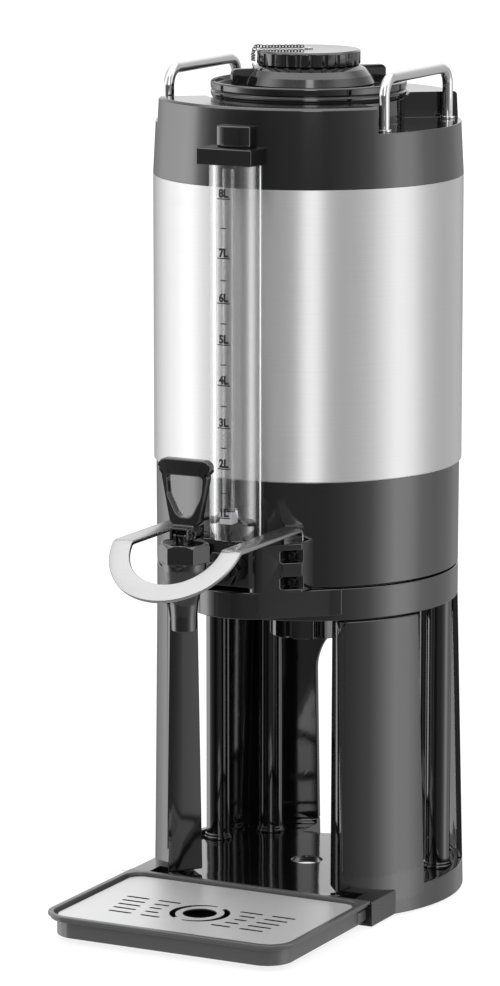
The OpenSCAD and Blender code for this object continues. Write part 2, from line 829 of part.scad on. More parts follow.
module screw_pocket(side) {
    r = 0.4 * pocket_half_h;
    for (sz = [-1, 1])
        translate([side * (pocket_x + r), -pocket_y, sz * (pocket_half_h - r)]) rotate([90, 0, 0])
            cylinder(r = r, h = big);
    translate([side < 0 ? -big : pocket_x + r, -big, -pocket_half_h])
        cube([big - pocket_x - r, big - pocket_y, 2 * pocket_half_h]);
    translate([side < 0 ? -big : pocket_x, -big, -pocket_half_h + r])
        cube([big - pocket_x, big - pocket_y, 2 * (pocket_half_h - r)]);
    translate([side * screw_x, 0, 0]) rod_y(screw_r + fit, 0, big, 0);
}

module housing_screws() {
    color(black) on_axis() for (sx = [-1, 1], dz = [-1, 1])
        translate([sx * screw_x, 0, 0]) difference() {
            union() {
                rod_y(screw_r, ring_r * cos(asin(screw_x / ring_r)) - shell_wall, pocket_y + over,
                    screw_mid_z + dz * screw_pitch / 2);
                rod_y(screw_head_r, pocket_y + fit, pocket_y + screw_head_r,
                    screw_mid_z + dz * screw_pitch / 2);
            }
            translate([0, -pocket_y - screw_head_r / 2, screw_mid_z + dz * screw_pitch / 2])
                rotate([90, 0, 0]) cylinder(r = screw_head_r / 2, h = screw_head_r, $fn = 6);
        }
}

// The guard is one flat bar: two tabs, two level legs and a tilted half loop

guard_z = stand_h + guard_rise;
tab_z = collar_z + housing_wall + 2 * fit;

guard_relief = 0.05;

module guard_bar() {
    bend = 2 * guard_t;
    bend_y = bend - tab_rear_y + guard_t;
    leg_w = guard_w - 2 * guard_relief;
    color(steel) on_axis() {
        for (sx = [-1, 1]) translate([sx * guard_loop_r - leg_w / 2, 0, 0]) {
            translate([0, -tab_rear_y, tab_z]) difference() {
                cube([leg_w, guard_t, guard_z - bend - tab_z]);
                for (dz = [-1, 1])
                    translate([sx * (screw_x - guard_loop_r) + leg_w / 2, guard_t + over,
                        screw_mid_z - tab_z + dz * screw_pitch / 2])
                        rotate([90, 0, 0]) cylinder(r = screw_r + fit, h = guard_t + 2 * over);
            }
            translate([0, bend_y - 2 * bend, guard_z - bend]) rotate([90, 0, 90])
                rotate_extrude(angle = 90) translate([bend - guard_t, 0]) square([guard_t, leg_w]);
            rotate([90, 0, 90]) linear_extrude(leg_w)
                polygon([[-guard_reach, guard_z], [-guard_reach + guard_t * sin(guard_tilt), guard_z - guard_t *
                    cos(guard_tilt)], [-guard_reach + guard_t * tan(guard_tilt / 2), guard_z - guard_t],
                    [bend_y - 2 * bend, guard_z - guard_t], [bend_y - 2 * bend, guard_z]]);
        }
        translate([0, -guard_reach, guard_z]) rotate([guard_tilt, 0, 0]) translate([0, 0, -guard_t])
            linear_extrude(guard_t) difference() {
                circle(guard_loop_r + guard_w / 2);
                circle(guard_loop_r - guard_w / 2);
                translate([-big, 0]) square([2 * big, big]);
            }
    }
}

// Gauge

block_z = band_top_z + 18.7;
block_front_y = shield_y + shield_r - fit;
vent_half_w = 13.5;
vent_front_y = crown_rim_r + 8.6;
fitting_half = 5;
fitting_h = 9;
fitting_z = housing_top_z + 12.2;
gauge_skin_y = ring_r + 2;
marks = 8;

module gauge_block() {
    color(black) on_axis() difference() {
        translate([-block_half_w, -block_front_y, block_z])
            cube([2 * block_half_w, block_front_y - crown_rim_r * cos(asin(block_half_w / crown_rim_r)) + over,
                block_h]);
        translate([0, 0, band_top_z + fit]) cylinder(r1 = band_r + fit, r2 = crown_rim_r + fit,
            h = crown_h - bevel);
        translate([0, -sight_tube_y, 0]) disc(sight_tube_r + fit, 0, block_z + block_h / 2);
    }
}

module vent_cap() {
    facet_x = 0.46 * vent_half_w;
    facet_y = vent_front_y - 1.2;
    color(black) on_axis() difference() {
        translate([0, 0, block_z + block_h + fit]) linear_extrude(vent_h)
            polygon([[-vent_half_w, 0], [-vent_half_w, -facet_y], [-facet_x, -vent_front_y],
                [facet_x, -vent_front_y], [vent_half_w, -facet_y], [vent_half_w, 0]]);
        translate([0, 0, band_top_z + fit]) cylinder(r1 = band_r + fit, r2 = crown_rim_r + fit,
            h = crown_h - bevel);
    }
}

module shield_shape(r_out, r_in, z_low, z_high) {
    translate([0, -shield_y, z_low]) linear_extrude(z_high - z_low) difference() {
        circle(r_out);
        circle(r_in);
        translate([-big, 0]) square([2 * big, big]);
    }
}

module gauge_shield() {
    color(clear) on_axis() shield_shape(shield_r, shield_r - shield_t, housing_top_z, block_z);
}

module sight_tube() {
    color(clear) on_axis() translate([0, -sight_tube_y, 0])
        tube(sight_tube_r, sight_tube_r - shell_t, fitting_z + fitting_h / 2, block_z + block_h / 2 - fit);
}

module tube_fitting() {
    color("white") on_axis() difference() {
        translate([-fitting_half, -sight_tube_y - fitting_half, fitting_z])
            cube([2 * fitting_half, 2 * fitting_half, fitting_h]);
        translate([0, -sight_tube_y, 0]) {
            disc(sight_tube_r + fit, fitting_z + fitting_h / 2, 2 * big);
            disc(sight_tube_r - shell_t, 0, 2 * big);
        }
    }
}

module tube_stem() {
    color(black) on_axis() translate([0, -sight_tube_y, 0]) difference() {
        translate([0, 0, housing_top_z]) cylinder(r1 = feed_r, r2 = sight_tube_r, h = fitting_z - housing_top_z);
        disc(feed_r - 2 * shell_t, 0, 2 * big);
    }
}

// The feed hose bends from the fitting's rear down into the housing
module feed_hose() {
    bend = fitting_z + fitting_h / 2 - housing_top_z;
    color(rubber_grey) on_axis() intersection() {
        translate([0, -sight_tube_y + fitting_half + fit, housing_top_z]) rotate([90, 0, 90])
            rotate_extrude(angle = 90) difference() {
                translate([bend / 2, 0]) circle(0.6 * feed_r);
                translate([bend / 2, 0]) circle(0.3 * feed_r);
            }
        translate([0, 0, housing_top_z]) disc(big, 0, big);
    }
}

// Litre marks: the pitch is that of the straight wall of the vessel, wider where it narrows
mark_steps = [1.22, 1, 1.02, 0.99, 1.02, 1.07, 1.43];
litre_h = 1000000 / PI / pow(vessel_r, 2);
function mark_z(i) = i == 0 ? band_z + first_mark : mark_z(i - 1) + mark_steps[i - 1] * litre_h;

module mark(z, half_deg) {
    t = 0.25;
    translate([0, -shield_y, z - t]) rotate([0, 0, -90 - half_deg])
        rotate_extrude(angle = 2 * half_deg)
            polygon([[shield_r + fit / 4, 0], [shield_r + t / 2, 0], [shield_r + t / 2, 2 * t],
                [shield_r + fit / 4, 2 * t]]);
}

module scale_marks() {
    color("black") on_axis() {
        for (i = [0:marks - 1]) mark(mark_z(i), 15.5);
        for (i = [0:marks - 2]) mark((mark_z(i) + mark_z(i + 1)) / 2, 6.4);
    }
}

module tube_seal() {
    color(rubber_grey) on_axis() translate([0, -sight_tube_y, 0])
        tube(sight_tube_r + shell_t, sight_tube_r + fit, block_z - 3 * shell_t, block_z);
}

// Tap

shank_rear_y = ring_r + 4 * foot_lift;
washer_t = 2;
shank_nut_y = housing_nose_y - 14;
shank_nut_t = 7;
bonnet_z = outlet_z + 16;
bonnet_top_z = bonnet_z + bonnet_h;
pin_z = bonnet_top_z + 5.2;
spout_z = outlet_z - spout_drop;
chamber_r = 10.6;
chamber_z = outlet_z - 6;
boss_r = shank_r + 1.2;
boss_y = tap_reach - tap_body_r - 2;
ear_half_gap = 3.2;
bonnet_ear_t = 2.5;
ear_r = 2.4;
pivot_y = tap_reach + pin_offset;
stem_head_half = 2.6;
foot_half_w = 7.5;
foot_wall_x = 5.9;
lever_y = tap_reach - 3.3;
foot_front = 4;
foot_len = 26;
foot_h = 9.8;
bonnet_turn = 18.5;

module tap_shank() {
    color(black) on_axis() difference() {
        rod_y(shank_r, shank_rear_y, boss_y - fit, outlet_z);
        rod_y(drink_bore_r, 0, tap_reach, outlet_z);
    }
}

module shank_nut() {
    color(black) on_axis() difference() {
        translate([0, -shank_nut_y, outlet_z]) rotate([90, 0, 0])
            cylinder(r = 1.55 * shank_r, h = shank_nut_t, $fn = 6);
        rod_y(shank_r + fit, 0, big, outlet_z);
    }
}

module shank_washer() {
    color(rubber_grey) on_axis() difference() {
        rod_y(1.4 * shank_r, recess_y + fit, shank_nut_y - fit, outlet_z);
        rod_y(shank_r + fit, 0, big, outlet_z);
    }
}

module tap_body() {
    color(black) on_axis() translate([0, -tap_reach, 0]) difference() {
        union() {
            rotate_extrude()
                polygon([[0, spout_z], [spout_r, spout_z], [1.02 * spout_r, spout_z + 10.5],
                    [1.13 * spout_r, outlet_z - 14], [0.76 * tap_body_r, outlet_z - 6],
                    [0.89 * tap_body_r, outlet_z + 3], [0.98 * tap_body_r, outlet_z + 11],
                    [tap_body_r, bonnet_z], [0, bonnet_z]]);
            rod_y(boss_r, boss_y - tap_reach, 0, outlet_z);
        }
        disc(chamber_r, chamber_z, big);
        disc(drink_bore_r, 0, big);
        rod_y(drink_bore_r, -tap_reach, 0, outlet_z);
    }
}

module bonnet_nut() {
    ear_x = ear_half_gap + bonnet_ear_t;
    color(black) on_axis() translate([0, -tap_reach, 0]) difference() {
        union() {
            intersection() {
                translate([0, 0, bonnet_z]) rotate([0, 0, bonnet_turn]) cylinder(r = bonnet_r, h = bonnet_h, $fn = 6);
                rotate_extrude()
                    polygon([[0, bonnet_z], [bonnet_r + over, bonnet_z],
                        [bonnet_r + over, bonnet_top_z - 0.2 * bonnet_h], [0.86 * bonnet_r, bonnet_top_z],
                        [0, bonnet_top_z]]);
            }
            for (sx = [-1, 1]) {
                translate([sx < 0 ? -ear_x : ear_half_gap, -pin_offset - ear_r, bonnet_top_z - over])
                    cube([bonnet_ear_t, 2 * ear_r, pin_z - bonnet_top_z + over]);
                translate([sx < 0 ? -ear_x : ear_half_gap, -pin_offset, pin_z]) rotate([0, 90, 0])
                    cylinder(r = ear_r, h = bonnet_ear_t);
            }
        }
        disc(chamber_r, bonnet_z - over, bonnet_top_z - 3.5);
        disc(stem_r + fit, 0, 2 * big);
        translate([-big, -pin_offset, pin_z]) rotate([0, 90, 0]) cylinder(r = pin_r + fit, h = 2 * big);
    }
}

// The lever: a grip bar on a tapering loop, on a forked foot that straddles the stem's head
module lever_outline() {
    top = pin_z + lever_h;
    half = lever_w / 2;
    bar_r = 6;
    hull() for (sx = [-1, 1])
        translate([sx * (half - bar_r), top - bar_r]) circle(bar_r, $fn = 32);
    hull() for (sx = [-1, 1]) {
        translate([sx * (0.89 * half - 4), top - 13]) circle(4, $fn = 32);
        translate([sx * (0.6 * half - 5), pin_z + 12.4]) circle(5, $fn = 32);
        translate([sx * 0.34 * half, pin_z + 8]) circle(2, $fn = 32);
    }
}

module lever_window() {
    top = pin_z + lever_h - 12;
    half = lever_w / 2;
    hull() {
        for (sx = [-1, 1]) {
            translate([sx * (0.67 * half - 2.5), top - 2.5]) circle(2.5, $fn = 32);
            translate([sx * (0.64 * half - 8), top - 12]) circle(8, $fn = 32);
            translate([sx * 1.4, pin_z + 19.8]) circle(6.5, $fn = 32);
        }
    }
}

module tap_lever() {
    foot_z = pin_z - 3.3;
    cross = [0, -tap_reach, pin_z];
    color(black) on_axis() difference() {
        union() {
            translate([0, -lever_y + lever_t / 2, 0]) rotate([90, 0, 0]) linear_extrude(lever_t)
                difference() {
                    lever_outline();
                    lever_window();
                }
            translate([-foot_half_w, -pivot_y - foot_front, foot_z]) cube([2 * foot_half_w, foot_len, foot_h]);
        }
        translate([-foot_wall_x, -pivot_y - foot_front - over, foot_z - over])
            cube([2 * foot_wall_x, foot_len - 8, foot_h - over]);
        translate([-big, -pivot_y, pin_z]) rotate([0, 90, 0]) cylinder(r = pin_r + fit, h = 2 * big);
        for (dy = [0, 0.9])
            translate(cross + [-big, dy, 0]) rotate([0, 90, 0]) cylinder(r = pin_r + 0.35, h = 2 * big);
        translate(cross + [-big, 0, -pin_r - 0.35]) cube([2 * big, 0.9, 2 * pin_r + 0.7]);
    }
}

module lever_pin() {
    color(steel) on_axis() translate([-foot_half_w, -pivot_y, pin_z]) rotate([0, 90, 0])
        cylinder(r = pin_r, h = 2 * foot_half_w);
}

collar_low_z = chamber_z + 7.5;
spring_low_z = collar_low_z + 2;
spring_top_z = bonnet_top_z - 3.5;
spring_r = 7;

module tap_stem() {
    color(steel) on_axis() translate([0, -tap_reach, 0]) {
        disc(stem_r, chamber_z + 5.5, pin_z - 2.4);
        disc(9.4, collar_low_z, collar_low_z + 1.7);
        translate([-stem_head_half, -2.4, pin_z - 3]) cube([2 * stem_head_half, 4.8, 5.4]);
        translate([-foot_half_w + 0.4, 0, pin_z]) rotate([0, 90, 0])
            cylinder(r = pin_r, h = 2 * foot_half_w - 0.8);
    }
}

module seat_cup() {
    color(rubber_grey) on_axis() translate([0, -tap_reach, 0]) difference() {
        disc(drink_bore_r + 2.6, chamber_z + 0.3, collar_low_z - fit);
        disc(stem_r + fit, chamber_z + 5.5 - fit, big);
    }
}

// A helix swept as one tube, with a ring of points every eighth of a turn
ring_sides = 6;
steps_per_turn = 8;
helix_steps = spring_turns * steps_per_turn;
helix_rise = spring_top_z - spring_low_z - 2 * spring_wire_r - 4 * fit;
function helix_point(i) = let (a = 360 * i / steps_per_turn)
    [spring_r * cos(a), spring_r * sin(a), spring_low_z + spring_wire_r + 2 * fit + helix_rise * i / helix_steps];
function helix_ring(i) = let (a = 360 * i / steps_per_turn, c = helix_point(i))
    [for (k = [0:ring_sides - 1]) let (b = 360 * k / ring_sides)
        c + spring_wire_r * [cos(b) * cos(a), cos(b) * sin(a), sin(b)]];

module tap_spring() {
    n = ring_sides;
    points = [for (i = [0:helix_steps]) each helix_ring(i)];
    sides = [for (i = [0:helix_steps - 1], k = [0:n - 1]) let (a = i * n + k, b = i * n + (k + 1) % n)
        each [[a, a + n, b], [b, a + n, b + n]]];
    caps = [for (k = [1:n - 2]) each [[0, k, k + 1], [helix_steps * n, helix_steps * n + k + 1,
        helix_steps * n + k]]];
    color(steel) on_axis() translate([0, -tap_reach, 0]) polyhedron(points, concat(sides, caps));
}

// Lid, fill cap and chain

lid_z = crown_z + fit;
lid_top_z = lid_z + lid_edge_h;
lid_dish_z = lid_top_z - 3.6;
cone_top_z = lid_dish_z + cone_h;
fill_r = 29;
fill_wall = 4.5;
fill_rim_z = cone_top_z + 7;
cap_z = cone_top_z + 0.4;
cap_top_z = cap_z + cap_h;
cone_top_r = cap_r - 1.4;
plug_r = neck_r - 1.5;
lid_under_z = recess_z - 4;
lid_gasket_z = neck_top_z;
ear_h = 13.4;
plug_h = 22;

module lid() {
    color(black) on_axis() difference() {
        union() {
            rotate_extrude()
                polygon([[fill_r, lid_under_z - plug_h], [plug_r, lid_under_z - plug_h], [plug_r, lid_under_z],
                    [crown_neck_r - shell_wall - 0.3, lid_under_z], [crown_neck_r - shell_wall - 0.3, recess_z + 0.4],
                    [lid_r - 1, recess_z + 0.4], [lid_r, lid_z + 1.4], [lid_r, lid_z + 3], [lid_r - 1, lid_z + 3.6],
                    [lid_r - 1, lid_z + 4.4], [lid_r, lid_z + 5], [lid_r, lid_top_z - 0.8],
                    [lid_r - 0.8, lid_top_z], [lid_r - 3, lid_top_z], [lid_r - 3.6, lid_dish_z],
                    [cone_r, lid_dish_z], [cone_r, lid_dish_z + 2], [0.95 * cone_r, lid_dish_z + 0.5 * cone_h],
                    [0.86 * cone_r, lid_dish_z + 0.8 * cone_h], [cone_top_r, cone_top_z],
                    [fill_r + fill_wall, cone_top_z], [fill_r + fill_wall, fill_rim_z], [fill_r, fill_rim_z]]);
            difference() {
                rotate([0, 0, ear_deg]) translate([0, 0, lid_dish_z - over]) linear_extrude(ear_h + over)
                    square([ear_t, 2 * ear_reach], center = true);
                rotate_extrude()
                    polygon([[0, 0], [cone_r - 4 * over, 0], [cone_r - 4 * over, lid_dish_z + 3],
                        [cone_top_r - 4 * over, cone_top_z], [cone_top_r - 4 * over, 2 * big], [0, 2 * big]]);
                rotate([0, 0, ear_deg]) for (sy = [-1, 1]) ear_rounding(sy);
            }
        }
        rotate_extrude()
            polygon([[fill_r + fill_wall, lid_under_z - plug_h - over], [plug_r - 3, lid_under_z - plug_h - over],
                [plug_r - 3, lid_under_z], [cone_r - 4, lid_dish_z - 1], [0.9 * cone_r - 4, lid_dish_z + 0.5 * cone_h],
                [cone_top_r - 4, cone_top_z - 3.4],
                [fill_r + fill_wall, cone_top_z - 3.4]]);
    }
}

// The outer upper corner of an ear is round
module ear_rounding(sy) {
    r = 4;
    top = lid_dish_z + ear_h;
    difference() {
        translate([-ear_t, sy < 0 ? -ear_reach - over : ear_reach - r, top - r]) cube([2 * ear_t, r + over, r + over]);
        translate([-ear_t, sy * (ear_reach - r), top - r]) rotate([0, 90, 0]) cylinder(r = r, h = 2 * ear_t);
    }
}

module lid_gasket() {
    color(rubber_grey) on_axis() tube(shell_neck_r, plug_r + 0.3, lid_gasket_z, lid_under_z - fit);
}

module fill_cap() {
    color(black) on_axis() difference() {
        rotate_extrude()
            polygon([[fill_r + fill_wall + 0.3, cap_z], [cap_r, cap_z], [cap_r, cap_top_z - 1.4],
                [cap_r - 1.4, cap_top_z], [0, cap_top_z], [0, cap_top_z - 2.6],
                [fill_r + fill_wall + 0.3, cap_top_z - 2.6]]);
        for (i = [0:flutes - 1])
            translate(concat(at_bearing(cap_r + 1.4, i * 360 / flutes), cap_z - over))
                cylinder(r = 2.6, h = cap_h + over - 1.6);
        disc(swivel_r + fit, cap_top_z - 2.6 - over, big * 2);
    }
}

swivel_r = 2.2;

module cap_gasket() {
    color(rubber_grey) on_axis() tube(fill_r + fill_wall, fill_r, fill_rim_z, cap_top_z - 2.6 - fit);
}

module cap_swivel() {
    color(steel) on_axis() {
        disc(swivel_r, cap_top_z - 3.6, cap_top_z + 0.4);
        disc(swivel_r + 1, cap_top_z + fit, cap_top_z + 1);
        disc(swivel_r + 1, cap_top_z - 4, cap_top_z - 2.6 - fit);
    }
}

// Chain: from the eye on an ear, up to the rim of the cap and across to its middle
link_pitch = 1.5 * link_r;
eye_r = 1.6;
chain_rim_deg = ear_deg + 180 - 14;
chain_gap = 0.3;
chain_lie_z = cap_top_z + 0.75 * link_r + chain_wire_r + chain_gap;
eye_top_z = lid_dish_z + ear_h + 0.5 + 2.28 * eye_r;
chain_start = concat(at_bearing(0.72 * ear_reach, ear_deg + 180),
    eye_top_z + link_r + chain_wire_r + 2 * fit);
chain_hang = concat(at_bearing(cap_r + 1.75 * link_r, chain_rim_deg - 3), cap_top_z - cap_h / 4);
chain_rim = concat(at_bearing(cap_r + 0.6 * link_r, chain_rim_deg), chain_lie_z + 2 * chain_wire_r);
chain_in = concat(at_bearing(0.9 * cap_r, chain_rim_deg), chain_lie_z);
chain_end = concat(at_bearing(swivel_r + link_r + 1.4, chain_rim_deg), chain_lie_z);
chain_route = [chain_start, chain_hang, chain_rim, chain_in, chain_end];
chain_runs = [for (i = [0:len(chain_route) - 2]) norm(chain_route[i + 1] - chain_route[i])];
function run_start(i) = i == 0 ? 0 : run_start(i - 1) + chain_runs[i - 1];
chain_length = run_start(len(chain_runs));
function run_at(s, i = 0) = i >= len(chain_runs) - 1 || s < run_start(i + 1) ? i : run_at(s, i + 1);
function chain_point(s) = let (i = run_at(s), t = (s - run_start(i)) / chain_runs[i])
    chain_route[i] + t * (chain_route[i + 1] - chain_route[i]);
link_count = floor(chain_length / link_pitch);

module chain() {
    color(steel) on_axis() for (i = [0:link_count]) {
        here = chain_point(i * link_pitch);
        i_run = run_at(i * link_pitch);
        way = chain_route[i_run + 1] - chain_route[i_run];
        translate(here)
            rotate([0, -atan2(way[2], norm([way[0], way[1]])), atan2(way[1], way[0])])
                rotate([i % 2 == 0 ? 45 : 135, 0, 0])
                    rotate_extrude() translate([link_r, 0]) circle(chain_wire_r, $fn = 16);
    }
}

module chain_anchor() {
    color(steel) on_axis() translate(concat(at_bearing(0.72 * ear_reach, ear_deg + 180), lid_dish_z + ear_h)) {
        disc(0.7 * eye_r, fit, 0.6);
        translate([0, 0, 0.5 + eye_r]) rotate([90, 0, ear_deg]) rotate_extrude()
            translate([eye_r, 0]) circle(0.28 * eye_r, $fn = 16);
    }
}

stand_base();
leg_front_left();
leg_front_right();
rear_panel();
post_side_left();
post_side_right();
post_rear_left();
post_rear_right();
stand_ring();
rubber_feet();
drip_tray();
drip_grille();
lower_collar();
bottom_plate();
base_nut();
outer_shell();
inner_vessel();
outlet_tube();
outlet_seal();
crown();
handle_left();
handle_right();
handle_nuts();
handle_ferrules();
front_housing();
guard_bar();
housing_screws();
gauge_block();
vent_cap();
gauge_shield();
sight_tube();
tube_fitting();
tube_stem();
feed_hose();
scale_marks();
tube_seal();
tap_shank();
shank_nut();
shank_washer();
tap_body();
bonnet_nut();
tap_lever();
lever_pin();
tap_stem();
seat_cup();
tap_spring();
lid();
lid_gasket();
fill_cap();
cap_gasket();
chain();
chain_anchor();
cap_swivel();
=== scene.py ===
# %% [markdown]
# # An insulated beverage dispenser, dressed for a studio photograph
#
# The model arrives as plain solids: a vacuum container with a tap and a sight gauge, on an open stand
# with a drip tray. This notebook gives each solid the small round edges and the finish of the real
# piece. The solids stay the frame: every piece keeps the place and the size that the frame gives it.

# %% Load the frame
import json
import math

import bmesh
import bpy
import numpy as np
from mathutils import Matrix, Vector


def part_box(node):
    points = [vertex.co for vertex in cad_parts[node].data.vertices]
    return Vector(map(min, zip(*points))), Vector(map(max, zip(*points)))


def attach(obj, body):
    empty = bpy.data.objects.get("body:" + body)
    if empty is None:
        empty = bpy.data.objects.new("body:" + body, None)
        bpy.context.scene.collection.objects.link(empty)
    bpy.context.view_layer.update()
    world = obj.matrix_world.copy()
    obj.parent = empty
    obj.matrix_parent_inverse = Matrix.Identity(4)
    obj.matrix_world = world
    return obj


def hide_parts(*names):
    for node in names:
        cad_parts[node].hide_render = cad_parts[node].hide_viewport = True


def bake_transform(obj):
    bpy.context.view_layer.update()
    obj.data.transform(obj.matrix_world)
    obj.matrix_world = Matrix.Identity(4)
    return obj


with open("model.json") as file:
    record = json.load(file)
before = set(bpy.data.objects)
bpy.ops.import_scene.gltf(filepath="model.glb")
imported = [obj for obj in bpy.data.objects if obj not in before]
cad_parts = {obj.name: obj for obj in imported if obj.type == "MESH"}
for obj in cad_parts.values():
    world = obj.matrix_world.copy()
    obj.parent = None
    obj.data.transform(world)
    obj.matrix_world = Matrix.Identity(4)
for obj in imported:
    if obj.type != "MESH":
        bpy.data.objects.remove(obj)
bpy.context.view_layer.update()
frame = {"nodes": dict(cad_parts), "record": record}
body_of = {node: body for body, nodes in frame["record"]["behaviour"]["bodies"].items() for node in nodes}
slot_of = {part["node"]: part["material_slot"] for part in frame["record"]["subparts"]}
MM = 0.001

# %% [markdown]
# ## Where the container stands
#
# Almost everything is round about one upright axis. The frame has its origin in the middle of the
# footprint, which the tray pushes forwards, so the axis is read from the middle of the steel shell.
# Two small helpers then tell how far a point is from the axis and how far round from the front, and
# the other way about.


# %% Find the container's axis
low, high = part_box("outer_shell")
AXIS_Y = (low.y + high.y) / 2
BAND_R = (high.x - low.x) / 2


def from_axis(point):
    return math.hypot(point.x, point.y - AXIS_Y), math.atan2(point.x, AXIS_Y - point.y)


def at(reach, bearing, z, axis_y=AXIS_Y):
    return reach * math.sin(bearing), axis_y - reach * math.cos(bearing), z


print("axis at y", round(AXIS_Y, 5), "band radius", round(BAND_R, 5))

# %% [markdown]
# ## The camera
#
# The photograph was taken with a long lens from the right of the tap, a little above the lid. Its place
# was worked out from the ellipses of the steel band, so the picture and the model share one view.

# %% Place the camera
CAMERA_FROM_AXIS = Vector((1.5547, -3.1182, 0.9484))
CAMERA_TILT = math.radians(90 - 10.491)
CAMERA_TURN = math.radians(27.2175)
SENSOR_WIDTH, LENS, SEES_TO = 36, 171.08, 100

camera = bpy.data.objects.new("camera", bpy.data.cameras.new("camera"))
bpy.context.scene.collection.objects.link(camera)
camera.location = CAMERA_FROM_AXIS + Vector((0, AXIS_Y, 0))
camera.rotation_euler = (CAMERA_TILT, 0, CAMERA_TURN)
camera.data.sensor_width = SENSOR_WIDTH
camera.data.lens = LENS
camera.data.clip_end = SEES_TO
bpy.context.scene.camera = camera
print("camera", round(CAMERA_FROM_AXIS.length, 3), "m from the foot of the axis")

# %% [markdown]
# ## Writing shader maths as sums
#
# A pattern is easier to read as a formula than as a row of nodes. One small class wraps a socket, so
# that adding two values adds a Math node. Any other node comes from one function, which sets the
# node's choices first and its sockets after.


# %% A value in a shader
class Value:
    def __init__(self, tree, socket):
        self.tree, self.socket = tree, socket

    def node(self, kind, **sockets):
        return make_node(self.tree, kind, **sockets)

    def math(self, operation, *others):
        node = self.tree.nodes.new("ShaderNodeMath")
        node.operation = operation
        for socket, value in zip(node.inputs, (self, *others)):
            feed(self.tree, socket, value)
        return Value(self.tree, node.outputs[0])

    def __add__(self, other): return self.math("ADD", other)
    def __radd__(self, other): return self.math("ADD", other)
    def __sub__(self, other): return self.math("SUBTRACT", other)
    def __rsub__(self, other): return (self * -1).math("ADD", other)
    def __mul__(self, other): return self.math("MULTIPLY", other)
    def __rmul__(self, other): return self.math("MULTIPLY", other)
    def __truediv__(self, other): return self.math("DIVIDE", other)
    def clamp(self): return self.math("MAXIMUM", 0.0).math("MINIMUM", 1.0)
    def grey(self): return self.node("ShaderNodeCombineColor", Red=self, Green=self, Blue=self)


def feed(tree, socket, value):
    if isinstance(value, Value):
        tree.links.new(value.socket, socket)
    else:
        socket.default_value = value


def make_node(tree, kind, settings=(), out=0, **sockets):
    node = tree.nodes.new(kind)
    for name, value in dict(settings).items():
        if name == "stops":
            set_stops(node.color_ramp, value)
        else:
            setattr(node, name, value)
    for name, value in sockets.items():
        feed(tree, node.inputs[name.replace("_", " ")], value)
    return Value(tree, node.outputs[out])


def set_stops(ramp, stops):
    while len(ramp.elements) < len(stops):
        ramp.elements.new(0.5)
    for element, (place, grey) in zip(ramp.elements, stops):
        element.position = place
        element.color = (grey, grey, grey, 1)


# %% [markdown]
# ## Light and floor
#
# A product shot like this one has a white sweep and two tall softboxes, one at the left and one at the
# right, with a darker gap in front where the photographer stands, and a narrow light high above that
# gap. Polished black plastic shows such boxes as soft upright stripes. The sky of the scene holds them,
# drawn by direction, so they look the same from every side, and the camera itself sees plain white.
#
# Each ring is a list of bearings in degrees, with nought towards the camera, and the brightness there.
# The low ring holds what stands near the horizon, and the high ring what hangs above it.

# %% Write down the two rings of light
LOW_RING = [
    (-180, 0.15), (-165, 0.32), (-150, 0.7), (-136, 1.4), (-120, 2.1), (-104, 2.9), (-96, 2.8), (-88, 1.25),
    (-78, 0.5), (-62, 0.2), (-40, 0.1), (-15, 0.18), (15, 0.2), (34, 0.36), (48, 0.64), (58, 1.3),
    (70, 2.25), (82, 2.05), (96, 1.1), (112, 0.75), (132, 0.62), (148, 0.6), (165, 0.35), (180, 0.15),
]
HIGH_RING = [
    (-180, 1.35), (-160, 1.3), (-142, 0.9), (-120, 0.75), (-106, 0.95), (-95, 1.75), (-84, 2.3),
    (-72, 2.0), (-60, 1.25), (-47, 0.7), (-35, 0.62), (-22, 0.5), (-7, 0.6), (-3, 4.0), (8, 4.0),
    (12, 0.9), (25, 0.55), (36, 0.7), (46, 0.95), (57, 1.4), (68, 1.6), (80, 1.45), (92, 1.1),
    (105, 0.75), (120, 0.6), (138, 0.8), (158, 1.3), (180, 1.35),
]
FLOOR_BOUNCE = 0.5
SKY_TOP = 2.2
print("levels in the low and the high ring:", len(LOW_RING), len(HIGH_RING))

# %% [markdown]
# The sky's shader gets a direction for each ray. Its bearing is an arc tangent, and a colour ramp reads
# the brightness from it. The ramp's own levels stay between nought and one: they are divided by the
# brightest, and what the ramp gives is multiplied by it again.

# %% Start the sky
world = bpy.data.worlds.new("studio")
bpy.context.scene.world = world
world.use_nodes = True
sky = world.node_tree
sky.nodes.clear()
direction = sky.nodes.new("ShaderNodeTexCoord")
split = sky.nodes.new("ShaderNodeSeparateXYZ")
sky.links.new(direction.outputs["Generated"], split.inputs[0])
x, y, z = (Value(sky, socket) for socket in split.outputs)
to_camera = math.atan2(CAMERA_FROM_AXIS.y, CAMERA_FROM_AXIS.x)
forward = x * math.cos(to_camera) + y * math.sin(to_camera)
aside = x * -math.sin(to_camera) + y * math.cos(to_camera)
turn = aside.math("ARCTAN2", forward)
print("the camera stands at", round(math.degrees(to_camera), 1), "degrees")


# %% Draw the studio as rings of light
def ring_of_light(stops):
    brightest = max(level for _, level in stops)
    return make_node(sky, "ShaderNodeValToRGB",
                     {"stops": [((angle + 180) / 360, level / brightest) for angle, level in stops]},
                     Fac=turn / math.tau + 0.5) * brightest


def rising(value, start, end):
    return make_node(value.tree, "ShaderNodeMapRange", {"interpolation_type": "SMOOTHSTEP"},
                     Value=value, From_Min=start, From_Max=end)


